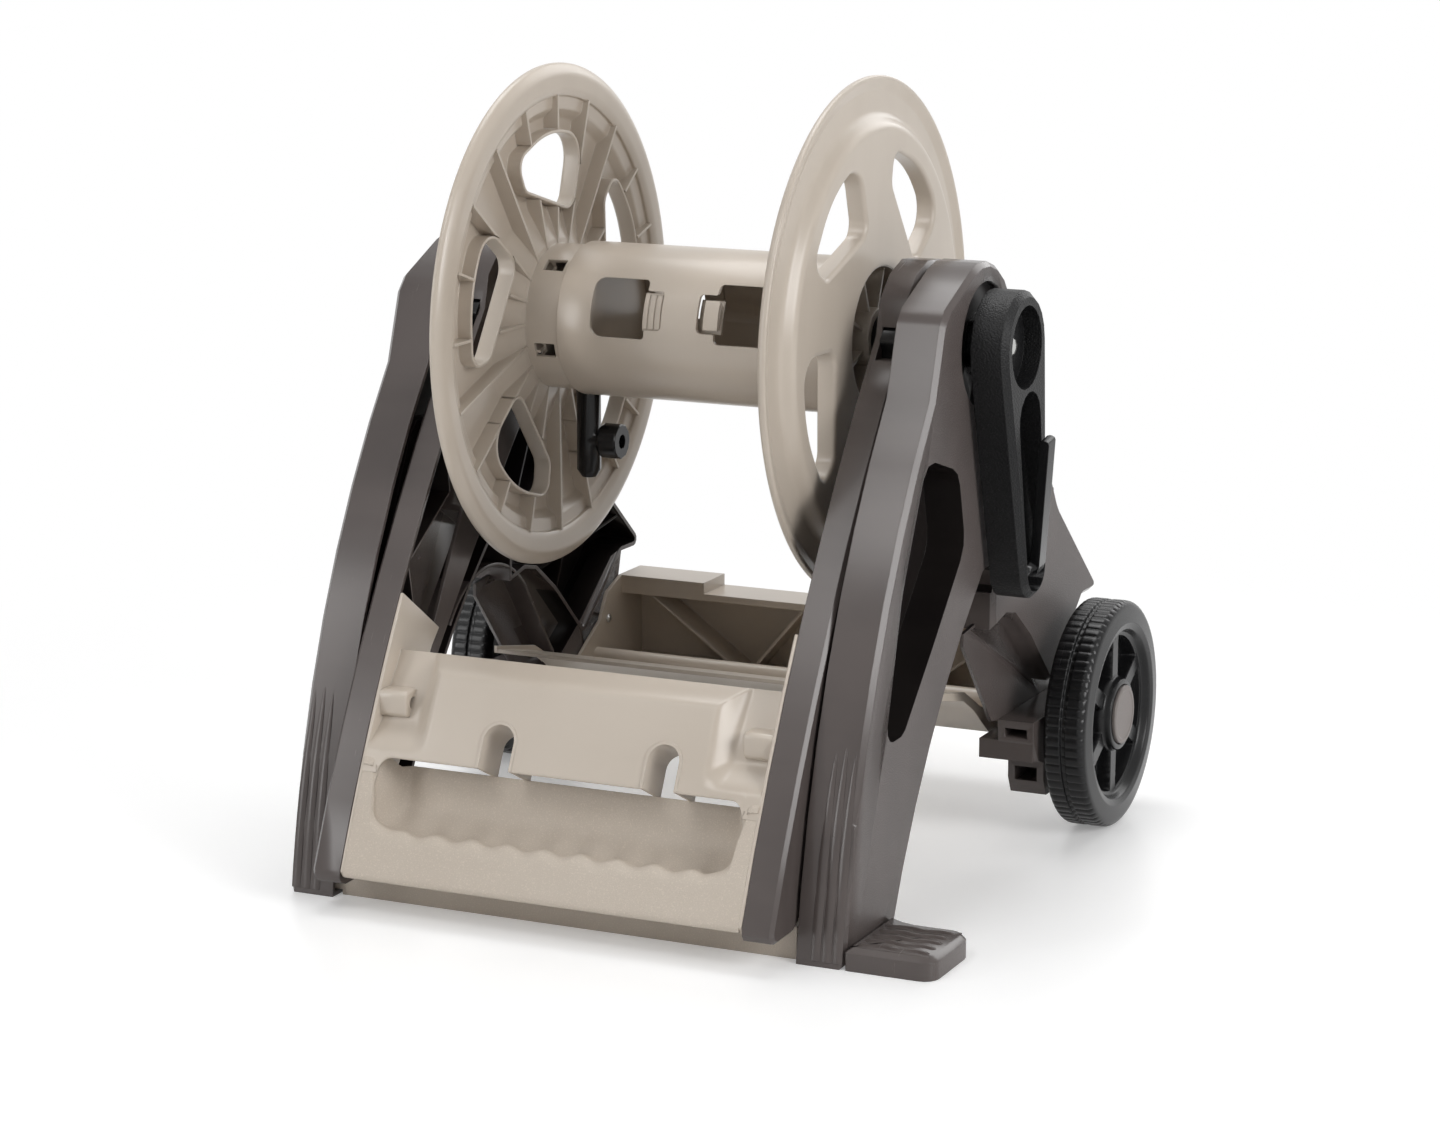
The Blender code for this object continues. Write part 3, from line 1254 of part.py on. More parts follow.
def build_handle(cart, axis):
    """The handle moulding: grip bar, hand slot, notched front wall, cheeks and screw bosses."""
    wall = MOULD_WALL
    inner = MOULD_HALF - wall
    low = ARM_FOOT[1] - 0.0015
    grip_path = [
        (arm_front(0.031) + 0.022, low),
        (arm_front(0.031) + 0.005, low),
        (arm_front(0.036), 0.036),
        (arm_front(0.060), 0.060),
        (arm_front(SLOT_LOW) + 0.003, SLOT_LOW),
        (arm_front(SLOT_LOW) + 0.010, SLOT_LOW + 0.001),
        (arm_front(0.066) + 0.020, 0.0625),
        (arm_front(0.066) + 0.031, 0.064),
        (arm_front(0.075) + 0.036, 0.076),
        (arm_front(0.106) + 0.031, 0.106),
    ]
    grip_path.reverse()
    wall_path = [
        (arm_front(SLOT_TOP) + 0.007, SLOT_TOP),
        (arm_front(SLOT_TOP), SLOT_TOP),
        (arm_front(0.150), 0.150),
        (arm_front(PANEL_TOP - 0.003), PANEL_TOP - 0.003),
        (arm_front(PANEL_TOP) + 0.003, PANEL_TOP),
        (-0.200, PANEL_TOP + 0.0065),
    ]
    wall_path.reverse()
    mould = prism("handle_grip", thickened(grip_path, wall), -inner - 0.001, inner + 0.001)
    centre = prism("front_wall", thickened(wall_path, wall), -CENTRE_HALF, CENTRE_HALF)
    rim_path = [(arm_front(z), z) for z in (0.150, SLOT_TOP, 0.090, 0.050)]
    setback = [(y + END_SETBACK, z) for y, z in wall_path[1:]]
    step = [(arm_front(z), z) for z in (SLOT_TOP + 0.001, 0.150, PANEL_TOP - 0.003)]
    step += [(y + END_SETBACK + 0.004, z - 0.0005) for y, z in step[::-1]]
    cheek = [(arm_front(z), z) for z in (0.036, 0.080, 0.130, 0.185, CHEEK_TOP)]
    cheek += [(-0.149, 0.195), (-0.161, 0.183)]
    cheek += [(arm_front(0.031) + 0.046, 0.031), (arm_front(0.031) + 0.005, low)]
    pieces = [centre]
    for side in (-1, 1):
        pieces.append(side_prism("cheek", cheek, inner, MOULD_HALF, side))
        pieces.append(side_prism("slot_rim", thickened(rim_path, wall), SLOT_HALF, inner + 0.001, side))
        end_wall = thickened(setback, wall)
        pieces.append(side_prism("end_wall", end_wall, CENTRE_HALF - 0.001, inner + 0.001, side))
        pieces.append(side_prism("step", step, CENTRE_HALF - 0.002, CENTRE_HALF + 0.001, side))
        screw_place = outward(side, *HANDLE_SCREW)
        pieces.append(rod("boss", 0.010, MOULD_HALF - 0.030, MOULD_HALF - 0.001, screw_place, PIPE_SIDES))
    slope = math.atan2(arm_front(0.155) - arm_front(0.115), 0.040)
    foot = Matrix.Translation((0, arm_front(0.115), 0.115)) @ Matrix.Rotation(-slope, 4, "X")
    notches = []
    for x in NOTCHES:
        half = NOTCH_WIDTH / 2
        arch = round_about((x, NOTCH_HEIGHT - half + 0.006), half + 0.0025, 0, 180, 6)
        outer = arch + [(x - half - 0.0025, 0.004), (x + half + 0.0025, 0.004)]
        pieces.append(prism("notch_wall", outer, 0.0002, NOTCH_DEPTH, "Y", foot))
        arch = round_about((x, NOTCH_HEIGHT - half + 0.006), half, 0, 180, 6)
        gap = arch + [(x - half, -0.01), (x + half, -0.01)]
        notches.append(prism("notch", gap, -0.02, NOTCH_DEPTH + 0.01, "Y", foot))
    cart.join(mould, *pieces)
    ways = []
    for side in (-1, 1):
        place = outward(side, *HANDLE_SCREW)
        start = MOULD_HALF - 0.030 - BORE_SPARE
        ways.append(rod("boss_bore", SCREW_HEAD + 0.001, start, inner - 0.001, place, SMALL_SIDES))
        ways.append(rod("screw_way", SCREW_RADIUS + SEAT_GAP, start, ARM_OUTER, place, SMALL_SIDES))
    cart.cut(mould, *notches, *ways)
    cart.add(mould, Colours.BEIGE, axis)
    for side in (-1, 1):
        place = Matrix.Translation((side * (inner - 0.001 - SEAT_GAP), *HANDLE_SCREW)) @ inward(side)
        build_screw(cart, f"handle_screw_{label(side)}", 0.015, place, axis)


def wheel_profile():
    """The wheel's section as (radius, distance from its inner face)."""
    tread = WHEEL_RADIUS
    width = WHEEL_WIDTH
    bore = running(AXLE_RADIUS, SMALL_SIDES) / math.cos(math.pi / WHEEL_SIDES)
    return [
        (bore, 0.0),
        (0.018, 0.0),
        (0.018, 0.012),
        (tread - 0.026, 0.012),
        (tread - 0.026, 0.002),
        (tread - 0.005, 0.0),
        (tread, 0.004),
        (tread, width / 2 - 0.002),
        (tread - 0.002, width / 2),
        (tread, width / 2 + 0.002),
        (tread, width - 0.004),
        (tread - 0.005, width),
        (tread - 0.024, width - 0.001),
        (tread - 0.027, width - 0.007),
        (0.029, width - 0.007),
        (0.027, width - 0.001),
        (CAP_RADIUS + 0.0006, width - 0.001),
        (CAP_RADIUS + 0.0006, width - 0.008),
        (bore, width - 0.008),
    ]


def build_wheel(cart, side, axis):
    """One wheel with its six pockets, and the cap over its hub."""
    place = outward(side, *AXLE) @ Matrix.Translation((0, 0, WHEEL_INNER))
    wheel = turned(f"wheel_{label(side)}", wheel_profile(), place, WHEEL_SIDES)
    pockets = []
    for index in range(WHEEL_POCKETS):
        centre = 360 * (index + 0.5) / WHEEL_POCKETS
        corners = []
        for radius, turn in ((0.035, -17), (0.062, -22), (0.065, 0), (0.062, 22), (0.035, 17), (0.033, 0)):
            angle = math.radians(centre + turn)
            y = AXLE[0] + radius * math.cos(angle)
            corners.append((y, AXLE[1] + radius * math.sin(angle), 0.0 if turn == 0 else 0.006))
        outline = rounded(corners, 60.0)
        deep, shallow = WHEEL_INNER + 0.016, WHEEL_OUTER + 0.01
        pockets.append(side_prism(f"wheel_pocket_{index}", outline, deep, shallow, side))
    cart.cut(wheel, *pockets)
    cart.add(wheel, Colours.BLACK, axis)
    base = WHEEL_WIDTH - 0.008 + SEAT_GAP
    top = WHEEL_WIDTH + CAP_PROUD
    profile = [
        (0.012, base),
        (CAP_RADIUS, base),
        (CAP_RADIUS, top - 0.001),
        (CAP_RADIUS - 0.001, top),
        (0, top),
    ]
    cap = [(0, base + 0.006), (0.012, base + 0.006)] + profile
    cart.add(turned(f"hub_cap_{label(side)}", cap[::-1], place, 20), Colours.TAUPE, axis)


def build_axle(cart):
    """The steel axle and the push-on ring that keeps each wheel on it."""
    reach = WHEEL_OUTER - 0.005
    along = outward(1, *AXLE)
    cart.add(rod("axle", AXLE_RADIUS, -reach, reach, along, SMALL_SIDES), Colours.STEEL)
    for side in (-1, 1):
        start = WHEEL_OUTER - 0.008 + SEAT_GAP
        bore = running(AXLE_RADIUS, SMALL_SIDES) - RUN_GAP + SEAT_GAP
        ring = [(bore, start), (bore, start + 0.002), (0.0105, start + 0.002), (0.0105, start)]
        cart.add(turned(f"axle_ring_{label(side)}", ring, outward(side, *AXLE), SMALL_SIDES), Colours.STEEL)


def build_carrier(cart, side):
    """The ribbed block outside each frame that spaces the wheel off and carries the axle."""
    inner = PANEL_X + PANEL_WALL + SEAT_GAP
    outer = WHEEL_INNER - 0.003
    outline = [
        (0.084, 0.1065),
        (0.086, 0.0885),
        (0.097, 0.0715),
        (0.110, 0.0670),
        (0.110, 0.0520),
        (0.117, 0.0380),
        (0.196, 0.0380),
        (0.212, 0.0600),
        (0.212, 0.1065),
    ]
    block = side_prism(f"axle_carrier_{label(side)}", outline, inner, outer, side)
    shelf = side_box("shelf", FRAME_INNER + 0.006, outer - 0.001, (0.0865, 0.0725), (0.148, 0.0885), side)
    cart.join(block, shelf)
    axle_way = running(AXLE_RADIUS, SMALL_SIDES)
    cuts = [
        rod("axle_way", axle_way, FRAME_INNER, WHEEL_OUTER, outward(side, *AXLE), SMALL_SIDES),
        side_box("upper_slot", inner + 0.006, outer - 0.006, (0.07, 0.0920), (0.120, 0.1000), side),
        side_box("lower_slot", inner + 0.006, outer - 0.006, (0.10, 0.0500), (0.150, 0.0620), side),
    ]
    cart.cut(block, *cuts)
    cart.add(block, Colours.TAUPE)


def build_cart():
    """Build every piece and settle the cart on its origin."""
    clear_scene()
    cart = Cart()
    reel = cart.empty("reel_axis", (0, 0, REEL_HEIGHT))
    handle = cart.empty("handle_axis", (0, 0, REEL_HEIGHT))
    nut = cart.empty("inlet_nut_axis", (INLET_X, 0, REEL_HEIGHT - NUT_TOP))
    for side in (-1, 1):
        build_frame(cart, side)
        build_bearing(cart, side)
        build_flange(cart, side, reel)
        build_drum(cart, side, reel)
        build_arm(cart, side, handle)
        build_carrier(cart, side)
        wheel = cart.empty(f"wheel_axis_{label(side)}", (side * WHEEL_INNER, *AXLE))
        build_wheel(cart, side, wheel)
    build_foot(cart)
    build_crossbar(cart)
    build_tray(cart)
    build_axle(cart)
    build_water_tube(cart, reel)
    build_inlet(cart, nut)
    build_crank(cart, reel)
    build_handle(cart, handle)
    cart.settle()


build_cart()
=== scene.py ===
"""Looks of a hose reel cart: moulded plastics, steel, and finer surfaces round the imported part."""

import json
import logging
import math
from dataclasses import dataclass, field
from enum import Enum
from typing import Callable, Sequence

import bpy
import numpy as np
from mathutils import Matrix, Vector
from mathutils.bvhtree import BVHTree

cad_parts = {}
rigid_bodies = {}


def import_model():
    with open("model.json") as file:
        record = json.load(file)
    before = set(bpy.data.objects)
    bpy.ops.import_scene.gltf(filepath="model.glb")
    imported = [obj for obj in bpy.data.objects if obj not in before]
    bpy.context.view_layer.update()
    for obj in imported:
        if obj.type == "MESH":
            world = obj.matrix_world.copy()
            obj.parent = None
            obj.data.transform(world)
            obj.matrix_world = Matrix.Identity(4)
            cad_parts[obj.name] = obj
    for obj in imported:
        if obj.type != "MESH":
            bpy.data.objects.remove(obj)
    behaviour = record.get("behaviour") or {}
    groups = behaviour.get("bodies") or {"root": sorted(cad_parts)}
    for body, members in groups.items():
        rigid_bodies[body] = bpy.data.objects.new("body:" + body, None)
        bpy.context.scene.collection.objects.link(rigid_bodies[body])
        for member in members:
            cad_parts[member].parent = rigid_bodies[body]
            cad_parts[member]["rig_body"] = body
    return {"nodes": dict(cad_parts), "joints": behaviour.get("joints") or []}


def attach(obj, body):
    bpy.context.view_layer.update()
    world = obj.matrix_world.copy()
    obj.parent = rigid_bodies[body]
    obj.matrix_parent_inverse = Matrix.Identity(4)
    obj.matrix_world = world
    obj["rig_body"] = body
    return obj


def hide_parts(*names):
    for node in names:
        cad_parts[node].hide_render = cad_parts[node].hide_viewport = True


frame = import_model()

LOG = logging.getLogger("hose_reel_cart")
SIDES = {-1: "left", 1: "right"}
CREASED = math.radians(32.0)
ROUNDED = math.radians(35.0)
NEARLY_STRAIGHT = math.radians(88.0)
MERGE = 0.000001
Array = np.ndarray
Piece = bpy.types.Object
Socket = bpy.types.NodeSocket
Tree = bpy.types.NodeTree


def joint_place(name: str) -> Array:
    """The point on the axis of a named joint, in the row frame."""
    joint = next(entry for entry in frame["joints"] if entry["name"] == name)
    return np.array(joint["pos_m"], float)


class Slot(Enum):
    """The record's material slots."""

    BEIGE = "beige_plastic"
    TAUPE = "taupe_plastic"
    BLACK = "black_plastic"
    RUBBER = "black_rubber"
    STEEL = "zinc_steel"


def smooth(value: Array, low: float, high: float) -> Array:
    """A soft step: 0 below low, 1 above high, and the cubic 3t² - 2t³ between.

    Args:
        value: Where the step is read.
        low: Where it starts to rise.
        high: Where it reaches 1.

    Returns:
        The step at each value.
    """
    t = np.clip((value - low) / (high - low), 0.0, 1.0)
    return t * t * (3.0 - 2.0 * t)


def around(turn: Array) -> Array:
    """The points (cos, sin) of the unit circle at some angles, one row each."""
    return np.stack([np.cos(turn), np.sin(turn)], -1)


def filleted(corners: Sequence[Sequence[float]], steps: int = 5) -> Array:
    """Rounds each corner of a closed path with a circular arc that touches both of its sides.

    Args:
        corners: (u, v, radius) of each corner; a radius of 0 keeps it sharp.
        steps: Points on each arc.

    Returns:
        The points of the rounded path, one row each.
    """
    points = np.array(corners, float)[:, :2]
    rows = []
    for index, (here, corner) in enumerate(zip(points, corners)):
        before = points[index - 1] - here
        after = points[(index + 1) % len(points)] - here
        long_before, long_after = np.linalg.norm(before), np.linalg.norm(after)
        before, after = before / long_before, after / long_after
        half = math.acos(float(np.clip(before @ after, -1, 1))) / 2
        if corner[2] <= 0 or half > NEARLY_STRAIGHT:
            rows.append(here[None])
            continue
        back = min(corner[2] / math.tan(half), 0.49 * min(long_before, long_after))
        radius = back * math.tan(half)
        middle = here + (before + after) / np.linalg.norm(before + after) * (radius / math.sin(half))
        start, end = here + before * back - middle, here + after * back - middle
        first = math.atan2(start[1], start[0])
        sweep = (math.atan2(end[1], end[0]) - first + math.pi) % (2 * math.pi) - math.pi
        rows.append(middle + radius * around(first + sweep * np.linspace(0, 1, steps)))
    return np.concatenate(rows)


def oblong(u: Sequence[float], v: Sequence[float], angle: float = 0.0) -> Array:
    """The four corners of an oblong from u[0] to u[1] by v[0] to v[1], turned about the origin."""
    corners = np.array([(u[0], v[0]), (u[1], v[0]), (u[1], v[1]), (u[0], v[1])])
    return corners @ np.array([[math.cos(angle), math.sin(angle)], [-math.sin(angle), math.cos(angle)]])


def ends(start: float, side: int, near: float, far: float) -> list[float]:
    """Two places at some distances to one side of a start, the lower one first."""
    return sorted((start + side * near, start + side * far))


def bowed(height: Array, foot: Sequence[float], top: Sequence[float], bow: float) -> Array:
    """How far along Y an arc lies at a height: it runs through foot and top, its middle bow off the chord.

    Args:
        height: Where it is read.
        foot: (y, z) of its lower end.
        top: (y, z) of its upper end.
        bow: The most that the arc stands off its chord.

    Returns:
        y at each height.
    """
    chord = np.subtract(top, foot)
    half = np.hypot(*chord) / 2
    radius = (half * half + bow * bow) / (2 * bow)
    left = np.array([-chord[1], chord[0]]) / (2 * half)
    middle = np.add(top, foot) / 2 + left * (bow - radius)
    return middle[0] - np.sqrt(radius**2 - (np.asarray(height) - middle[1]) ** 2)
def arm_front(height: Array) -> Array:
    """How far forward the handle arms' bowed front edge lies at a height."""
    return bowed(height, (-0.309, 0.030), (-0.060, 0.440), 0.018)
def grid_faces(rows: int, columns: int, close_rows: bool, close_columns: bool) -> Array:
    """Quads between neighbours of a grid of points, counted row by row.

    Args:
        rows: Number of rows.
        columns: Number of points in a row.
        close_rows: Whether the last row joins the first.
        close_columns: Whether the last column joins the first.

    Returns:
        Four point numbers for each quad.
    """
    i, j = np.meshgrid(
        np.arange(rows if close_rows else rows - 1),
        np.arange(columns if close_columns else columns - 1),
        indexing="ij",
    )
    down, right = (i + 1) % rows, (j + 1) % columns
    quads = [i * columns + j, down * columns + j, down * columns + right, i * columns + right]
    return np.stack(quads, -1).reshape(-1, 4)


def new_object(name: str, points: Array, faces: Sequence[Sequence[int]], turn: bool = True) -> Piece:
    """A mesh object from points and faces, with faces turned outwards and smooth up to a crease.

    Args:
        name: The piece's name.
        points: One row of x, y, z for each point.
        faces: Point numbers of each face.
        turn: Whether the faces are turned outwards here.

    Returns:
        The new object, in the scene.
    """
    mesh = bpy.data.meshes.new(name)
    rows = np.asarray(points, float).reshape(-1, 3).tolist()
    mesh.from_pydata(rows, [], [list(map(int, face)) for face in faces])
    mesh.validate()
    piece = bpy.data.objects.new(name, mesh)
    bpy.context.scene.collection.objects.link(piece)
    if turn:
        turn_outwards(piece)
    crease(piece)
    return piece


def edit(piece: Piece, *actions: Callable[[], object]) -> None:
    """Runs edit-mode actions on the whole of a piece."""
    bpy.ops.object.select_all(action="DESELECT")
    bpy.context.view_layer.objects.active = piece
    piece.select_set(True)
    bpy.ops.object.mode_set(mode="EDIT")
    bpy.ops.mesh.select_all(action="SELECT")
    for action in actions:
        action()
    bpy.ops.object.mode_set(mode="OBJECT")


def turn_outwards(piece: Piece) -> None:
    """Turns each closed shell's faces outwards."""
    edit(piece, lambda: bpy.ops.mesh.normals_make_consistent(inside=False))


def crease(piece: Piece) -> None:
    """Shades a piece smooth and keeps its sharp edges as creases."""
    piece.data.shade_smooth()
    piece.data.set_sharp_from_angle(angle=CREASED)


def applied(piece: Piece) -> Piece:
    """Puts the result of a piece's modifiers into its mesh."""
    graph = bpy.context.evaluated_depsgraph_get()
    mesh = bpy.data.meshes.new_from_object(piece.evaluated_get(graph))
    piece.modifiers.clear()
    piece.data = mesh
    return piece


def bevelled(piece: Piece, width: float, steps: int = 2) -> Piece:
    """Rounds a piece's sharp edges.

    Args:
        piece: The piece.
        width: The width of the rounding.
        steps: Strips across it.

    Returns:
        The same piece, with the rounding in its mesh.
    """
    bevel = piece.modifiers.new("rounding", "BEVEL")
    bevel.width = width
    bevel.segments = steps
    bevel.limit_method = "ANGLE"
    bevel.angle_limit = ROUNDED
    return applied(piece)


def joined(name: str, pieces: Sequence[Piece]) -> Piece:
    """Makes one object of several.

    Args:
        name: The new name.
        pieces: The objects, of which the first takes in the rest.

    Returns:
        The one object.
    """
    bpy.ops.object.select_all(action="DESELECT")
    for piece in pieces:
        piece.select_set(True)
    bpy.context.view_layer.objects.active = pieces[0]
    if len(pieces) > 1:
        bpy.ops.object.join()
    pieces[0].name = name
    pieces[0].data.name = name
    return pieces[0]


def carved(piece: Piece, *tools: Piece) -> Piece:
    """Cuts closed tools out of a piece and removes them.

    Args:
        piece: The closed piece.
        tools: The closed shapes to take away.

    Returns:
        The same piece, cut.
    """
    tool = joined("tool", list(tools))
    cut = piece.modifiers.new("cut", "BOOLEAN")
    cut.operation = "DIFFERENCE"
    cut.solver = "EXACT"
    cut.use_self = True
    cut.object = tool
    applied(piece)
    bpy.data.objects.remove(tool)
    crease(piece)
    return piece


def revolved(name: str, section: Array, centre: Array, side: int, sides: int = 144) -> Piece:
    """A closed section carried round the X axis: (x, y, z) = (side·d, r·cos a, r·sin a) about the centre.

    Args:
        name: The piece's name.
        section: Rows of (radius r, distance d along X).
        centre: The point on the axis.
        side: 1 or -1, the way that d counts.
        sides: Points round a turn.

    Returns:
        The closed ring.
    """
    angle = np.linspace(0, 2 * math.pi, sides, endpoint=False)[:, None]
    radius, along = section[None, :, 0], section[None, :, 1]
    points = np.stack(np.broadcast_arrays(side * along, radius * np.cos(angle), radius * np.sin(angle)), -1)
    faces = grid_faces(sides, len(section), True, True)
    return new_object(name, points + centre, faces)


def slab(name: str, outline: Array, low: float, high: float, axis: int = 0) -> Piece:
    """An outline carried straight along one axis, closed by a flat face at each end.

    Args:
        name: The piece's name.
        outline: Points of the outline on the two other axes, in their order.
        low: Where it starts along the axis.
        high: Where it ends.
        axis: 0, 1 or 2 for X, Y or Z.

    Returns:
        The closed slab.
    """
    flat = np.zeros((len(outline), 3))
    flat[:, [index for index in range(3) if index != axis]] = outline
    along = np.eye(3)[axis]
    return carried(name, flat, low * along, high * along)


def carried(name: str, outline: Array, low: Array, high: Array) -> Piece:
    """A flat outline in space carried straight from one shift to another, closed at both ends.

    Args:
        name: The piece's name.
        outline: Rows of x, y, z.
        low: The shift of the first end.
        high: The shift of the last end.

    Returns:
        The closed piece.
    """
    count = len(outline)
    points = np.stack([outline + low, outline + high])
    faces = grid_faces(2, count, False, True).tolist()
    faces += [list(range(count)), list(range(2 * count - 1, count - 1, -1))]
    return new_object(name, points, faces)


def strip(name: str, inner: Array, outer: Array, low: Array, high: Array) -> Piece:
    """A wall between two open paths side by side, carried from one shift to another.

    Args:
        name: The piece's name.
        inner: Rows of x, y, z along one side.
        outer: Rows along the other side.
        low: The shift of the first edge.
        high: The shift of the last edge.

    Returns:
        The closed wall.
    """
    points = np.stack([inner + low, outer + low, outer + high, inner + high], 1)
    faces = grid_faces(len(inner), 4, False, True).tolist()
    last = 4 * (len(inner) - 1)
    faces += [[0, 1, 2, 3], [last + 3, last + 2, last + 1, last]]
    return new_object(name, points, faces)


def shell(name: str, front: Array, wall: float, inward: Sequence[float]) -> Piece:
    """A closed skin: a grid of points, the same grid moved along its normals, and a border between them.

    The normal at a point is the cross product of the steps to its neighbours along rows and columns.

    Args:
        name: The piece's name.
        front: Points as rows by columns by 3.
        wall: How far the grid is moved.
        inward: Roughly the way in which it is moved.

    Returns:
        The closed skin.
    """
    normal = np.cross(np.gradient(front, axis=0), np.gradient(front, axis=1))
    normal /= np.linalg.norm(normal, axis=-1, keepdims=True) + 1e-12
    normal *= np.sign((normal @ np.asarray(inward, float)).mean())
    rows, columns = front.shape[:2]
    count = rows * columns
    index = np.arange(count).reshape(rows, columns)
    border = np.concatenate([index[0, :-1], index[:-1, -1], index[-1, :0:-1], index[:0:-1, 0]])
    after = np.roll(border, -1)
    quads = grid_faces(rows, columns, False, False)
    sides = np.stack([border, after, after + count, border + count], 1)
    points = np.concatenate([front.reshape(-1, 3), (front + normal * wall).reshape(-1, 3)])
    return new_object(name, points, np.concatenate([quads, quads[:, ::-1] + count, sides]))


class Shader:
    """A material's node tree, with short ways to add nodes and wires."""

    def __init__(self, tree: Tree) -> None:
        """Keeps the tree that the nodes go into."""
        self.tree = tree

    def add(self, kind: str, **values: object) -> bpy.types.Node:
        """Adds a node.

        Args:
            kind: Blender's name of the node type.
            values: Attributes by name, and socket values by name with spaces as underscores.

        Returns:
            The node.
        """
        node = self.tree.nodes.new(kind)
        for key, value in values.items():
            if hasattr(node, key):
                setattr(node, key, value)
            else:
                self.put(value, node.inputs[key.replace("_", " ")])
        return node

    def put(self, value: object, socket: Socket) -> None:
        """Wires a socket to an input, or writes a plain value there."""
        if isinstance(value, Socket):
            self.tree.links.new(value, socket)
        else:
            socket.default_value = value

    def math(self, operation: str, first: object, second: object = 0.0) -> Socket:
        """One sum on two values."""
        node = self.add("ShaderNodeMath", operation=operation)
        self.put(first, node.inputs[0])
        self.put(second, node.inputs[1])
        return node.outputs[0]

    def ramp(self, value: object, low: float, high: float) -> Socket:
        """A soft step of a value from 0 at low to 1 at high."""
        limits = {"From_Min": low, "From_Max": high}
        node = self.add("ShaderNodeMapRange", interpolation_type="SMOOTHSTEP", Value=value, **limits)
        return node.outputs["Result"]

    def noise(self, where: object, scale: object, detail: float = 3.0) -> Socket:
        """Noise between 0 and 1."""
        return self.add("ShaderNodeTexNoise", Scale=scale, Detail=detail, Vector=where).outputs["Fac"]

    def mix(self, share: object, first: object, second: object) -> Socket:
        """A blend of two colours."""
        node = self.add("ShaderNodeMix", data_type="RGBA", Factor=share)
        self.put(first, node.inputs[6])
        self.put(second, node.inputs[7])
        return node.outputs[2]

    def effect(self, group: Tree, **values: object) -> bpy.types.NodeOutputs:
        """The outputs of a shared node group that is given some values."""
        return self.add("ShaderNodeGroup", node_tree=group, **values).outputs


def new_group(
    name: str, inputs: dict[str, tuple[str, object]], outputs: dict[str, str]
) -> tuple[Shader, bpy.types.NodeOutputs, bpy.types.NodeInputs]:
    """An empty shader node group with named sockets.

    Args:
        name: The group's name.
        inputs: (kind, value) of each input by name.
        outputs: The kind of each output by name.

    Returns:
        The group's shader, the sockets with what it is given, and the sockets for what it gives.
    """
    group = bpy.data.node_groups.new(name, "ShaderNodeTree")
    for key, (kind, value) in inputs.items():
        socket = group.interface.new_socket(key, in_out="INPUT", socket_type=f"NodeSocket{kind}")
        if value is not None:
            socket.default_value = value
    for key, kind in outputs.items():
        group.interface.new_socket(key, in_out="OUTPUT", socket_type=f"NodeSocket{kind}")
    shader = Shader(group)
    return shader, shader.add("NodeGroupInput").outputs, shader.add("NodeGroupOutput").inputs


class Effects:
    """The node groups that the finishes share."""

    def __init__(self) -> None:
        """Builds each group once."""
        self.grain = self.build_grain()
        self.tone = self.build_tone()
        self.handling = self.build_handling()

    def build_grain(self) -> Tree:
        """The etched texture of a mould: small round bumps, only where a mask allows them."""
        inputs = {"Place": ("Vector", None), "Size": ("Float", 1400.0), "Mask": ("Float", 1.0)}
        shader, given, out = new_group("mould_grain", inputs, {"Height": "Float", "Speckle": "Float"})
        place, size, mask = given["Place"], given["Size"], given["Mask"]
        cells = shader.add(
            "ShaderNodeTexVoronoi", feature="SMOOTH_F1", Vector=place, Scale=size, Smoothness=0.6
        )
        bumps = shader.math("SUBTRACT", 1.0, cells.outputs["Distance"])
        shader.put(shader.math("MULTIPLY", bumps, mask), out["Height"])
        spots = shader.ramp(shader.noise(place, 900.0, 2.0), 0.5, 0.75)
        shader.put(shader.math("MULTIPLY", spots, mask), out["Speckle"])
        return shader.tree

    def build_tone(self) -> Tree:
        """The slow change of colour and gloss that a large moulding has, with faint flow lines."""
        inputs = {
            "Place": ("Vector", None),
            "Colour": ("Color", (0.5, 0.5, 0.5, 1)),
            "Shade": ("Color", (0.4, 0.4, 0.4, 1)),
            "Roughness": ("Float", 0.4),
            "Spread": ("Float", 0.03),
        }
        shader, given, out = new_group("mould_tone", inputs, {"Colour": "Color", "Roughness": "Float"})
        slow = shader.noise(given["Place"], 9.0, 2.0)
        stretch = shader.add("ShaderNodeMapping", Vector=given["Place"], Scale=(6.0, 40.0, 12.0))
        streak = shader.noise(stretch.outputs["Vector"], 1.0, 3.0)
        slow, streak = shader.math("MULTIPLY", slow, 0.65), shader.math("MULTIPLY", streak, 0.35)
        both = shader.math("ADD", slow, streak)
        share = shader.ramp(both, 0.35, 0.65)
        shader.put(shader.mix(share, given["Shade"], given["Colour"]), out["Colour"])
        offset = shader.math("MULTIPLY", shader.math("SUBTRACT", both, 0.5), given["Spread"])
        shader.put(shader.math("ADD", given["Roughness"], offset), out["Roughness"])
        return shader.tree

    def build_handling(self) -> Tree:
        """Fine scratches and rubbed spots from handling, as a mask and a height."""
        inputs = {"Place": ("Vector", None), "Amount": ("Float", 0.5)}
        shader, given, out = new_group("handling_marks", inputs, {"Mask": "Float", "Height": "Float"})
        turn, stretch = (0.5, 0.9, 0.3), (900.0, 25.0, 60.0)
        bent = shader.add("ShaderNodeMapping", Vector=given["Place"], Rotation=turn, Scale=stretch)
        lines = shader.ramp(shader.noise(bent.outputs["Vector"], 1.0, 2.0), 0.66, 0.76)
        where = shader.ramp(shader.noise(given["Place"], 14.0, 4.0), 0.5, 0.72)
        mask = shader.math("MULTIPLY", shader.math("MULTIPLY", lines, where), given["Amount"])
        shader.put(mask, out["Mask"])
        shader.put(shader.math("MULTIPLY", mask, -1.0), out["Height"])
        return shader.tree


class Grained(Enum):
    """Where a moulding carries its etched grain."""

    NOWHERE = 0
    EVERYWHERE = 1
    SIDES = 2


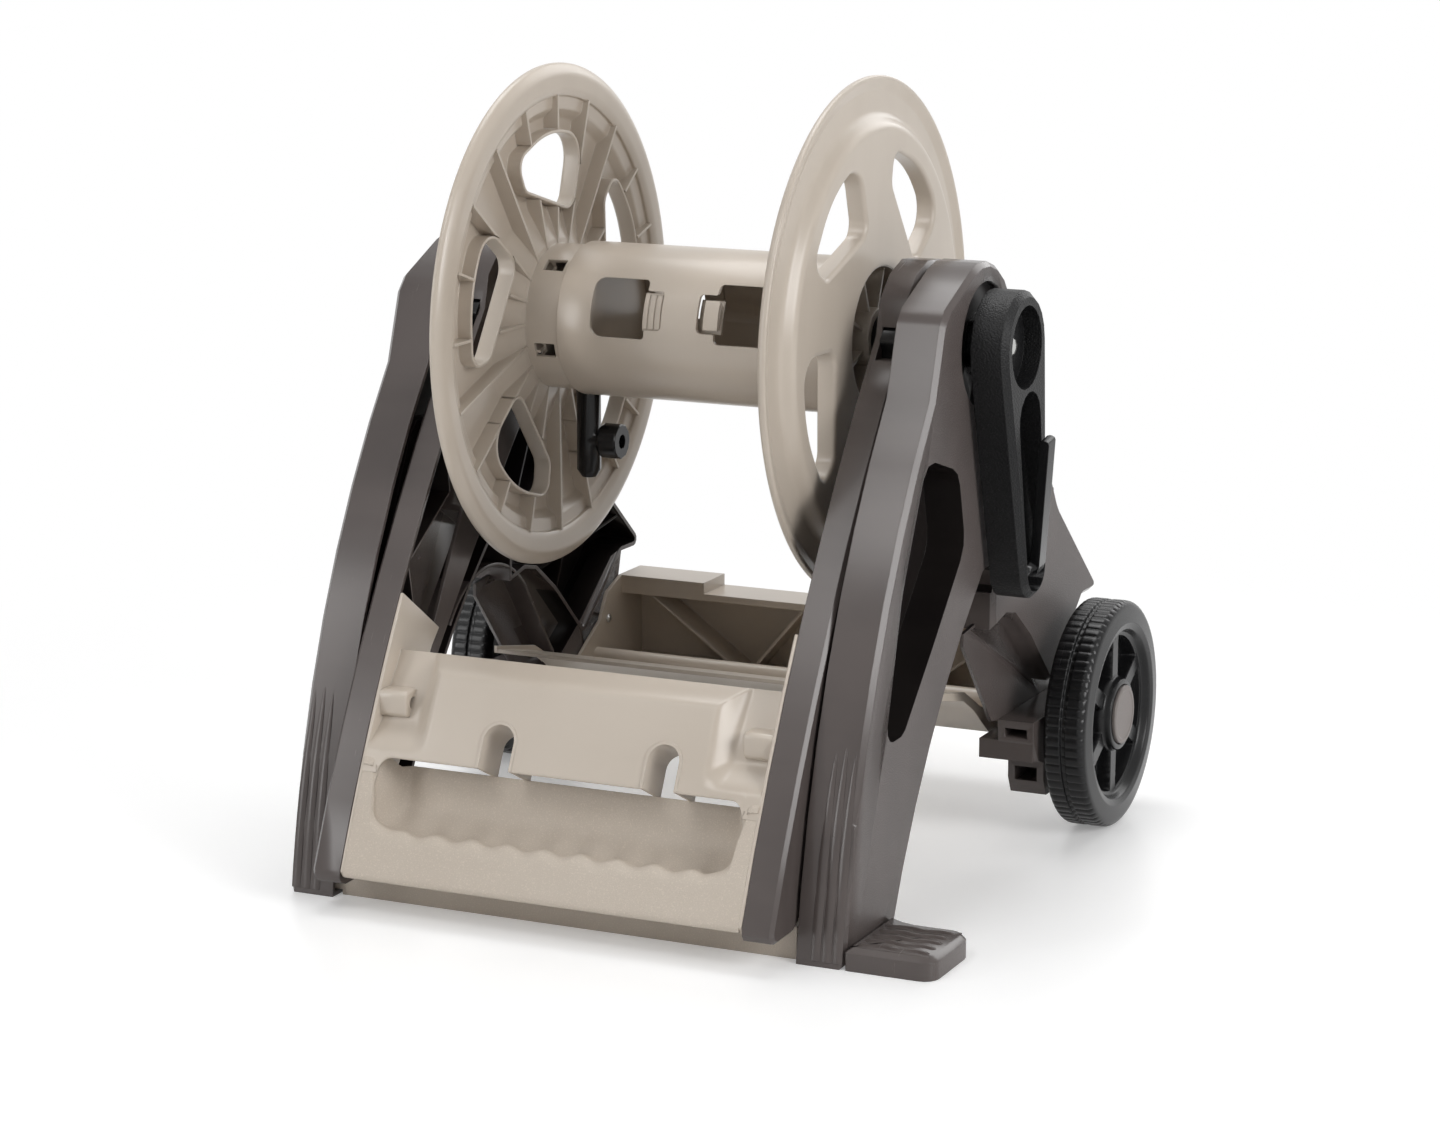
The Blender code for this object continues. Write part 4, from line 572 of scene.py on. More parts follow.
@dataclass(frozen=True)
class Plastic:
    """A moulded plastic or steel finish, with grain, tone and handling marks."""

    name: str
    slot: Slot
    colour: tuple[float, float, float]
    shade: tuple[float, float, float]
    roughness: float
    grained: Grained = Grained.NOWHERE
    grain_size: float = 1400.0
    grain_depth: float = 0.00012
    grain_rough: float = 0.16
    marks: float = 0.35
    metallic: float = 0.0
    shine: float = 0.5
    edge: float = 0.0009

    def build(self, effects: Effects) -> bpy.types.Material:
        """Makes the material.

        Args:
            effects: The shared node groups.

        Returns:
            The material.
        """
        made = bpy.data.materials.new(self.name)
        made.use_nodes = True
        shader = Shader(made.node_tree)
        bsdf = made.node_tree.nodes["Principled BSDF"]
        place = shader.add("ShaderNodeTexCoord").outputs["Object"]
        colours = {"Colour": (*self.colour, 1), "Shade": (*self.shade, 1)}
        tone = shader.effect(effects.tone, Place=place, Roughness=self.roughness, **colours)
        marks = shader.effect(effects.handling, Place=place, Amount=self.marks)
        mask = self.grain_mask(shader)
        grain = shader.effect(effects.grain, Place=place, Size=self.grain_size, Mask=mask)
        pale = (*(min(1.0, value * 1.5 + 0.03) for value in self.colour), 1)
        speckled = shader.mix(shader.math("MULTIPLY", grain["Speckle"], 0.3), tone["Colour"], pale)
        rubbed = shader.mix(shader.math("MULTIPLY", marks["Mask"], 0.5), speckled, pale)
        rough = shader.math("ADD", tone["Roughness"], shader.math("MULTIPLY", mask, self.grain_rough))
        rough = shader.math("ADD", rough, shader.math("MULTIPLY", marks["Mask"], 0.2))
        soft = shader.add("ShaderNodeBevel", samples=4, Radius=self.edge)
        height = shader.math("MULTIPLY", grain["Height"], self.grain_depth)
        height = shader.math("ADD", height, shader.math("MULTIPLY", marks["Height"], 0.00004))
        bump = shader.add("ShaderNodeBump", Strength=1.0, Distance=1.0, Height=height)
        shader.put(soft.outputs["Normal"], bump.inputs["Normal"])
        values = {
            "Base Color": rubbed,
            "Roughness": rough,
            "Normal": bump.outputs["Normal"],
            "Metallic": self.metallic,
            "Specular IOR Level": self.shine,
        }
        for name, value in values.items():
            shader.put(value, bsdf.inputs[name])
        return made

    def grain_mask(self, shader: Shader) -> object:
        """Where the grain is: nowhere, everywhere, or on faces that look to either side."""
        if self.grained is Grained.NOWHERE:
            return 0.0
        if self.grained is Grained.EVERYWHERE:
            return 1.0
        normal = shader.add("ShaderNodeTexCoord").outputs["Normal"]
        parts = shader.add("ShaderNodeSeparateXYZ")
        shader.put(normal, parts.inputs[0])
        return shader.ramp(shader.math("ABSOLUTE", parts.outputs["X"]), 0.80, 0.93)


BEIGE, BEIGE_SHADE = (0.533, 0.468, 0.397), (0.505, 0.440, 0.370)
TAUPE, TAUPE_SHADE = (0.092, 0.076, 0.071), (0.072, 0.059, 0.055)
# Painted shade: a near-black taupe given to faces deep in the frames and arms, standing in for the shade
# there.
PAINTED_SHADE, PAINTED_SHADE_SHADE = (0.017, 0.014, 0.013), (0.010, 0.008, 0.008)
CAP, CAP_SHADE = (0.20, 0.17, 0.16), (0.16, 0.14, 0.13)
BLACK, BLACK_SHADE = (0.007, 0.007, 0.0075), (0.005, 0.005, 0.0055)
PALE_BLACK, PALE_BLACK_SHADE = (0.008, 0.008, 0.0085), (0.006, 0.006, 0.0065)
SEAL, SEAL_SHADE = (0.02, 0.02, 0.02), (0.015, 0.015, 0.015)
ZINC, ZINC_SHADE = (0.62, 0.62, 0.60), (0.5, 0.5, 0.49)
ALL, FLANKS = Grained.EVERYWHERE, Grained.SIDES

PLASTICS = (
    Plastic("smooth_beige", Slot.BEIGE, BEIGE, BEIGE_SHADE, 0.28, marks=0.1),
    Plastic("grained_beige", Slot.BEIGE, BEIGE, BEIGE_SHADE, 0.42, ALL, 1100.0, 0.00018, marks=0.5),
    Plastic(
        "frame_taupe", Slot.TAUPE, TAUPE, TAUPE_SHADE, 0.22, FLANKS, 900.0, 0.00022, marks=0.6, shine=0.40
    ),
    Plastic("smooth_taupe", Slot.TAUPE, TAUPE, TAUPE_SHADE, 0.24, marks=0.6, shine=0.40),
    # This finish paints shade: the taupe plastic darkened to near black where faces lie deep in shade.
    Plastic("hollow_taupe", Slot.TAUPE, PAINTED_SHADE, PAINTED_SHADE_SHADE, 0.30, shine=0.15),
    Plastic(
        "grained_black", Slot.BLACK, BLACK, BLACK_SHADE, 0.32, ALL, 620.0, 0.0004, marks=0.5, shine=0.25
    ),
    Plastic("smooth_black", Slot.BLACK, PALE_BLACK, PALE_BLACK_SHADE, 0.22, shine=0.3),
    Plastic("tread_black", Slot.BLACK, BLACK, BLACK_SHADE, 0.26, marks=0.8, shine=0.3),
    Plastic("seal_rubber", Slot.RUBBER, SEAL, SEAL_SHADE, 0.6),
    Plastic("zinc_steel", Slot.STEEL, ZINC, ZINC_SHADE, 0.28, marks=0.8, metallic=1.0, edge=0.0003),
    Plastic("cap_taupe", Slot.TAUPE, CAP, CAP_SHADE, 0.30, FLANKS, 2200.0, 0.00005),
)
FINISHES = {finish.name: finish for finish in PLASTICS}


class Workshop:
    """Holds the finishes and hands each new piece to its body."""

    def __init__(self) -> None:
        """Builds the shared effects and every finish."""
        effects = Effects()
        self.finishes = {name: finish.build(effects) for name, finish in FINISHES.items()}

    def dress(self, piece: Piece, finish: str) -> None:
        """Gives a piece one finish."""
        piece.data.materials.clear()
        piece.data.materials.append(self.finishes[finish])

    def place(self, piece: Piece, body: str, finish: str, *nodes: str) -> Piece:
        """Dresses a piece and lets it ride on a body in place of some nodes.

        Args:
            piece: The finished piece.
            body: The body that carries it.
            finish: The name of its finish.
            nodes: The nodes that it stands for.

        Returns:
            The same piece.
        """
        self.dress(piece, finish)
        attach(piece, body)
        if nodes:
            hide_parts(*nodes)
        LOG.info("%s rides on %s, %d faces", piece.name, body, len(piece.data.polygons))
        return piece


@dataclass
class Recast:
    """A node's own shape with its loose triangles merged and its flat faces made whole, and its deep faces
    given painted shade where a shade finish is named.
    """

    node: str
    finish: str
    # The finish that paints shade on the deep faces; empty for none.
    painted_shade: str = ""
    weld: float = 0.00002
    flat: float = 0.6
    reach: float = 0.26

    def build(self, shop: Workshop) -> Piece:
        """Builds the piece and puts it in the node's place.

        Args:
            shop: The finishes and bodies.

        Returns:
            The piece.
        """
        source = frame["nodes"][self.node]
        piece = bpy.data.objects.new(f"{self.node}_moulding", source.data.copy())
        bpy.context.scene.collection.objects.link(piece)
        edit(
            piece,
            lambda: bpy.ops.mesh.remove_doubles(threshold=self.weld),
            lambda: bpy.ops.mesh.dissolve_limited(angle_limit=math.radians(self.flat)),
        )
        crease(piece)
        shop.place(piece, source["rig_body"], self.finish, self.node)
        # Paint shade on the faces that lie deep in the shell.
        if self.painted_shade:
            self.paint_shade(piece, shop)
        return piece

    def paint_shade(self, piece: Piece, shop: Workshop) -> None:
        """Paints shade on a shell's deep faces by giving them the near-black painted-shade finish.

        A face is deep where the ways up, down, front and back from just off its middle all meet the piece
        within the reach. The narrow edges of walls and ribs that face the opening stay as they are.
        """
        mesh = piece.data
        mesh.materials.append(shop.finishes[self.painted_shade])
        tree = BVHTree.FromObject(piece, bpy.context.evaluated_depsgraph_get())
        ways = [Vector(way) for way in ((0, 1, 0), (0, -1, 0), (0, 0, 1), (0, 0, -1))]
        for face in mesh.polygons:
            start = face.center + face.normal * 0.0008
            if all(tree.ray_cast(start, way, self.reach)[0] is not None for way in ways):
                face.material_index = 1


@dataclass
class ArmSide:
    """The handle arms' inner sides, open towards the reel and braced by thin crossed ribs whose sides carry
    painted shade.
    """

    centre: Array
    inner: float = 0.171
    outer: float = 0.196
    wall: float = 0.003
    depth: float = 0.043
    front_wall: float = 0.0045
    window: tuple[float, float] = (0.058, 0.362)
    window_depth: float = 0.075
    rib: float = 0.0017
    struts: tuple[tuple[float, float], ...] = (
        (0.060, 0.105),
        (0.150, 0.105),
        (0.150, 0.205),
        (0.255, 0.205),
        (0.255, 0.300),
        (0.350, 0.300),
    )

    def build(self, arms: dict[int, Piece], shop: Workshop) -> None:
        """Opens each arm's inner side and sets the ribs in it, with painted shade on the ribs' sides.

        Args:
            arms: The left arm at -1 and the right arm at 1.
            shop: The finishes and bodies.
        """
        for side, arm in arms.items():
            carved(arm, self.window_tool(side))
            struts = [self.strut(side, *heights) for heights in self.struts]
            ribs = joined(f"{SIDES[side]}_arm_ribs", struts)
            # The ribs take the near-black painted-shade finish; only faces that look along X keep the plain
            # taupe.
            shop.place(ribs, "handle", "hollow_taupe")
            ribs.data.materials.append(shop.finishes["smooth_taupe"])
            for face in ribs.data.polygons:
                face.material_index = int(abs(face.normal.x) > 0.9)

    def edge(self, height: Array, back: float) -> Array:
        """(y, z) at some depth behind the arm's bowed front."""
        return np.stack(np.broadcast_arrays(arm_front(height) + back, height), -1)

    def window_tool(self, side: int) -> Piece:
        """The shape that takes the inner side wall away behind the front wall."""
        heights = np.linspace(*self.window, 18)
        front, back = self.edge(heights, self.front_wall), self.edge(heights[::-1], self.window_depth)
        outline = np.concatenate([front, back])
        reach = ends(self.centre[0], side, self.inner - 0.002, self.outer - self.wall - 0.0004)
        return slab("arm_window", outline + (self.centre[1], 0), *reach)

    def strut(self, side: int, start: float, end: float) -> Piece:
        """One slanted rib from the front wall at one height to the rear edge at another."""
        first, last = self.edge(np.array(start), 0.003), self.edge(np.array(end), self.depth)
        along = (last - first) / np.linalg.norm(last - first)
        across = np.array([-along[1], along[0]]) * self.rib / 2
        outline = np.stack([first + across, first - across, last - across, last + across])
        reach = ends(self.centre[0], side, self.inner + 0.0008, self.outer - self.wall + 0.0004)
        return slab("arm_rib", outline + (self.centre[1], 0), *reach)


@dataclass
class ArchCrown:
    """The smooth round top of the left frame's arch: a band along it, and a near-black sheet above it that
    paints the shade inside the frame.

    Only the left frame's inner side is seen from where the object is shown.
    """

    centre: Array
    middle: tuple[float, float] = (-0.005, 0.1307)
    radius: float = 0.0818
    near: float = 0.1992
    far: float = 0.2345
    wall: float = 0.0028
    skin_wall: float = 0.0025
    span: tuple[float, float] = (36.0, 146.0)
    foot_length: float = 0.080

    def build(self, shop: Workshop) -> None:
        """Builds the band and the sheet of painted shade."""
        shop.place(self.band(), "frame", "smooth_taupe").name = "left_arch_band"
        # The sheet is near black to paint the shade inside the frame above the arch.
        shop.place(self.skin(), "frame", "hollow_taupe").name = "left_arch_skin"

    def rim(self, grow: float) -> Array:
        """The arch's edge from the axle box over the top to the leg: a straight foot, then a true arc."""
        arc = np.array(self.middle) + (self.radius + grow) * around(np.radians(np.linspace(*self.span, 45)))
        foot = arc[0] + np.array([0.588, -0.809]) * np.linspace(self.foot_length, 0.004, 12)[:, None]
        return np.concatenate([foot, arc])

    def band(self) -> Piece:
        """The band along the arch's edge, with its inner edge rounded by a bevel."""
        start = self.centre * (1, 1, 0)
        paths = (np.insert(self.rim(grow), 0, 0.0, axis=1) + start for grow in (0, self.wall))
        shifts = (np.array([-place, 0, 0]) for place in (self.near, self.far))
        return bevelled(strip("arch_band", *paths, *shifts), 0.0006)

    def skin(self) -> Piece:
        """The sheet behind the band, at the frame's outer skin, in the near-black finish that paints shade.
        """
        top = np.array([(-0.075, 0.262), (0.030, 0.262), (0.150, 0.195), (0.165, 0.135)])
        outline = np.concatenate([self.rim(self.wall / 2), top]) + self.centre[1] * np.array([1, 0])
        return slab("arch_skin", outline, *ends(self.centre[0], -1, self.far - self.skin_wall, self.far))


@dataclass
class Reel:
    """The two flanges, with their openings, ribs and hubs."""

    centre: Array
    radius: float = 0.205
    half_gap: float = 0.1324
    rim_thickness: float = 0.0097
    rim_band: float = 0.027
    disc_rise: float = 0.0176
    wall: float = 0.003
    disc_radius: float = 0.165
    ribs: int = 20
    rib_wall: float = 0.0022
    openings: int = 5
    opening_wall: float = 0.0025
    opening_edge: float = 0.0034
    opening_half_angle: float = 22.0
    collar_radius: float = 0.0592
    collar_reach: float = 0.085
    hub_floor: float = 0.1225
    journal_end: float = 0.2275
    journal_radius: float = 0.018
    journal_bore: float = 0.0135
    socket_radius: float = 0.0235
    socket_bore: float = 0.0037
    bare_end: float = -0.105
    slot_angles: tuple[float, ...] = (52.0, -20.0, -112.0, -184.0)
    slot_radii: tuple[float, float] = (-0.070, -0.050)
    slot_half: float = 0.006
    slot_half_length: float = 0.009
    tube_way: float = 0.0112
    tube_place: float = -0.108
    fins: int = 8
    fin_wall: float = 0.0025
    slope_radius: float = 0.094
    first_opening: dict[int, float] = field(default_factory=lambda: {-1: 23.0, 1: 57.0})

    def build(self, shop: Workshop) -> None:
        """Builds both flanges."""
        for side in SIDES:
            self.flange(shop, side)

    def disc(self, side: int) -> Piece:
        """The rim and the dished disc as one ring."""
        face, back = self.half_gap, self.half_gap + self.rim_thickness
        outer = self.half_gap + self.disc_rise
        floor = outer - self.wall
        edge, band, disc = self.radius, self.radius - self.rim_band, self.disc_radius
        inner = self.collar_radius - 0.002
        section = [
            (inner, outer, 0.0),
            (disc + 0.0015, outer, 0.010),
            (disc + 0.0095, back - 0.0015, 0.010),
            (edge - 0.012, back - 0.0030, 0.006),
            (edge - 0.0035, back, 0.0022),
            (edge, back, 0.0014),
            (edge, face + 0.0050, 0.005),
            (edge - 0.0075, face, 0.016),
            (band + 0.0050, face, 0.012),
            (band, face + 0.0030, 0.003),
            (band + 0.0005, back - 0.004, 0.002),
            (disc + 0.003, back - 0.003, 0.004),
            (disc - 0.004, floor, 0.004),
            (self.slope_radius, floor, 0.020),
            (self.collar_radius + 0.004, face + 0.003, 0.006),
            (inner, face + 0.0025, 0.0),
        ]
        return revolved("disc", filleted(section, 6), self.centre, side, 192)

    def outline(self, middle: float, grow: float = 0.0) -> Array:
        """One teardrop opening about an angle in degrees, as rounded corners on polar marks.

        Args:
            middle: The opening's middle angle.
            grow: How far outside the opening the outline runs.

        Returns:
            Points (y, z) about the centre.
        """
        half, turn = math.radians(self.opening_half_angle), math.radians(middle)
        marks = [
            (0.089, -half, 0.013),
            (0.149, -half, 0.021),
            (0.153, 0.0, 0.150),
            (0.148, half, 0.014),
            (0.121, half, 0.013),
        ]
        corners = [(r * math.cos(turn + a), r * math.sin(turn + a), q) for r, a, q in marks]
        path = filleted(corners, 9)
        ahead = np.roll(path, -1, 0) - np.roll(path, 1, 0)
        normal = np.stack([ahead[:, 1], -ahead[:, 0]], 1)
        normal /= np.linalg.norm(normal, axis=1)[:, None] + 1e-12
        return path + normal * grow

    def rib(self, index: int, side: int) -> Piece:
        """One radial rib: its side view carried across its thickness and turned to its angle."""
        back = self.half_gap + self.rim_thickness
        floor = self.half_gap + self.disc_rise - self.wall + 0.001
        top = self.half_gap + 0.001
        reach = self.radius - self.rim_band + 0.0015
        marks = [
            (top + 0.001, self.collar_radius),
            (floor, self.collar_radius),
            (floor, self.disc_radius - 0.004),
            (back - 0.002, self.disc_radius + 0.004),
            (back - 0.0045, reach),
            (top, reach),
        ]
        angle = 2 * math.pi * index / self.ribs
        outward = np.array([0, math.cos(angle), math.sin(angle)])
        across = np.array([0, -math.sin(angle), math.cos(angle)]) * self.rib_wall / 2
        outline = np.array([np.array([side * along, 0, 0]) + radius * outward for along, radius in marks])
        return carried("rib", outline + self.centre, -across, across)

    def opening_tool(self, middle: float, side: int) -> Piece:
        """The shape that clears one opening and the rounding of its edge."""
        path = self.outline(middle, self.opening_edge) + self.centre[1:]
        return slab("opening", path, *ends(self.centre[0], side, 0.11, 0.17))

    def opening_wall_piece(self, middle: float, side: int) -> Piece:
        """The raised wall round one opening, with the quarter round that joins it to the disc's outer face.

        Its section is carried along the outline as (growth outside it, distance along X).
        """
        low, high = self.half_gap + 0.002, self.half_gap + self.disc_rise
        soft, wall, edge = 0.0006, self.opening_wall, self.opening_edge
        turn = np.linspace(0, math.pi / 2, 6)
        corner = np.stack([edge - edge * np.sin(turn), high - edge + edge * np.cos(turn)], 1)
        section = [(0, low + soft), (soft, low), (wall - soft, low), (wall, low + soft)]
        section += [(wall, high - self.wall - 0.0004), (edge, high - self.wall), *corner]
        ring = []
        for grow, along in section:
            path = self.outline(middle, grow)
            ring.append(np.column_stack([np.full(len(path), side * along), path]))
        points = np.stack(ring, 1) + self.centre
        return new_object("opening_wall", points, grid_faces(points.shape[0], len(ring), True, True))

    def hub(self, side: int) -> Piece:
        """The collar that the drum sits on, the hub floor, and the crank's socket or the journal in it."""
        outer = self.half_gap + self.disc_rise - 0.0005
        collar, inner, floor = self.collar_radius, self.collar_radius - 0.003, self.hub_floor
        bore, end, shaft = self.journal_bore, self.journal_end, self.journal_radius
        if side > 0:
            bore, end, shaft = self.socket_bore, outer, self.socket_radius
        section = [
            (inner, outer, 0.0),
            (collar, outer, 0.0),
            (collar, self.collar_reach, 0.0008),
            (inner, self.collar_reach, 0.0008),
            (inner, floor, 0.002),
            (bore, floor, 0),
            (bore, end, 0),
            (shaft, end, 0.001),
            (shaft, floor + self.wall, 0.003),
            (inner, floor + self.wall, 0.003),
        ]
        return revolved("hub", filleted(section, 4), self.centre, side, 96)

    def flange(self, shop: Workshop, side: int) -> None:
        """One whole flange."""
        name = SIDES[side]
        middles = [self.first_opening[side] + 360 * index / self.openings for index in range(self.openings)]
        disc = carved(self.disc(side), *[self.opening_tool(middle, side) for middle in middles])
        ribs = joined("ribs", [self.rib(index, side) for index in range(self.ribs)])
        ribs = carved(ribs, *[self.opening_tool(middle, side) for middle in middles])
        walls = [self.opening_wall_piece(middle, side) for middle in middles]
        hub = self.hub(side)
        if side < 0:
            hub = carved(hub, *self.collar_slots())
        piece = joined(f"{name}_flange_moulding", [disc, ribs, hub, *walls, *self.fin_pieces(side)])
        crease(piece)
        shop.place(piece, "reel", "smooth_beige", f"flange_{name}")

    def fin_pieces(self, side: int) -> list[Piece]:
        """The radial fins between the shaft and the collar."""
        outer = self.half_gap + self.disc_rise - 0.006
        near, far = ends(0.0, side, self.hub_floor + 0.002, outer)
        half = self.fin_wall / 2
        paths = [
            oblong((0.017, 0.0572), (-half, half), 2 * math.pi * (index + 0.5) / self.fins) + self.centre[1:]
            for index in range(self.fins)
        ]
        return [slab("fin", path, self.centre[0] + near, self.centre[0] + far) for path in paths]

    def collar_slots(self) -> list[Piece]:
        """The slots round the bare part of the left collar, and the way down for the tube."""
        middle = (self.bare_end - self.half_gap) / 2 + self.centre[0]
        width, half_length = (-self.slot_half, self.slot_half), self.slot_half_length
        tools = []
        for angle in self.slot_angles:
            outline = oblong(self.slot_radii, width, -math.radians(angle)) + self.centre[1:]
            tools.append(slab("slot", outline, middle - half_length, middle + half_length))
        way = self.tube_way * around(np.linspace(0, 2 * math.pi, 32, endpoint=False))
        way += (self.centre[0] + self.tube_place, self.centre[1])
        tools.append(slab("way", way, self.centre[2] - 0.08, self.centre[2] - 0.03, 2))
        return tools


@dataclass
class Drum:
    """The smooth tube between the flanges, with its windows, snap blocks, bulkhead and small notches."""

    centre: Array
    radius: float = 0.0625
    wall: float = 0.003
    left_end: float = -0.105
    right_end: float = 0.1328
    seam: float = 0.003
    window_rise: float = 0.018
    window_width: float = 0.047
    window_height: float = 0.046
    slot_height: float = 0.030
    bulkhead_radii: tuple[float, float] = (0.0004, 0.0585)
    bulkhead_ends: tuple[float, float] = (-0.086, -0.083)
    notch_angle: float = -101.0
    notch_places: tuple[float, ...] = (-0.020, 0.030, 0.078)

    def build(self, shop: Workshop) -> None:
        """Builds the tube, cuts its windows on both faces, and sets the snap blocks and the bulkhead."""
        inner = self.radius - self.wall
        section = [
            (self.radius, self.left_end, 0.0006),
            (self.radius, self.right_end, 0.0006),
            (inner, self.right_end, 0),
            (inner, self.left_end, 0.0006),
        ]
        tube = revolved("drum_tube", filleted(section, 3), self.centre, 1, 160)
        tube = carved(tube, *self.window_tools(), *self.notch_tools())
        piece = joined("drum_moulding", [tube, *self.blocks(), self.bulkhead()])
        crease(piece)
        shop.place(piece, "reel", "smooth_beige", "drum_left", "drum_right")

    def bulkhead(self) -> Piece:
        """The inner end wall that parts the drum from the tube's chamber."""
        section = oblong(self.bulkhead_radii, self.bulkhead_ends)
        return revolved("bulkhead", section, self.centre, 1, 96)

    def window_tools(self) -> list[Piece]:
        """Four windows, each a rounded square with a narrower step towards the middle."""
        tools = []
        low, high = self.window_rise - self.window_height / 2, self.window_rise + self.window_height / 2
        step_low = self.window_rise - self.slot_height / 2
        step_high = self.window_rise + self.slot_height / 2
        for half in (-1, 1):
            near, far = self.seam + half * 0.0305, self.seam + half * (0.031 + self.window_width)
            snap = self.seam + half * 0.0155
            outline = [
                (far, low, 0.009),
                (far, high, 0.008),
                (near, high, 0.007),
                (near, step_high, 0.0015),
                (snap, step_high, 0.003),
                (snap, step_low, 0.004),
                (near, step_low, 0.0015),
                (near, low, 0.007),
            ]
            path = filleted(outline, 7) + self.centre[[0, 2]]
            for face in (-1, 1):
                tools.append(slab("window", path, *ends(self.centre[1], face, 0.035, 0.080), axis=1))
        return tools

    def notch_tools(self) -> list[Piece]:
        """The small notches in a row along the drum's lower front."""
        spot = self.radius * around(math.radians(self.notch_angle))
        outline = oblong((-0.0022, 0.0022), (-0.004, 0.004)) + spot + self.centre[1:]
        starts = [self.centre[0] + place for place in self.notch_places]
        return [slab("notch", outline, start, start + 0.008) for start in starts]

    def patch(self, low: float, high: float, share: float, top: float, thick: float, face: int) -> Piece:
        """A piece of the tube's wall, centred on the window's middle.

        Args:
            low: Where it starts along the drum, from the seam.
            high: Where it ends.
            share: Its half width, as a share of the step's own.
            top: How far its outer face lies from that of the snap blocks.
            thick: Its thickness.
            face: 1 or -1, the drum's rear or front.

        Returns:
            The closed piece.
        """
        middle = math.asin(self.window_rise / self.radius)
        reach = share * math.asin(0.0149 / self.radius)
        arc = around(np.linspace(middle - reach, middle + reach, 12)) * (face, 1)
        top += self.radius - 0.0022
        outline = np.concatenate([arc * top, arc[::-1] * (top - thick)]) + self.centre[1:]
        start = self.centre[0] + self.seam
        return slab("snap_block", outline, start + low, start + high)

    def blocks(self) -> list[Piece]:
        """Sunk snap blocks: a ridged one that fills the left step, and a narrow one in the right step."""
        starts = [-0.0322 + 0.0056 * step for step in range(3)]
        ridges = [(start, start + 0.0040, 0.94, 0.0009, 0.002) for start in starts]
        marks = [
            (-0.0325, -0.0150, 1.06, 0.0, 0.0018),
            *ridges,
            (0.0210, 0.0335, 0.80, 0.0016, 0.004),
            (0.0140, 0.0335, 1.06, -0.0065, 0.002),
        ]
        return [self.patch(*mark, face) for face in (-1, 1) for mark in marks]


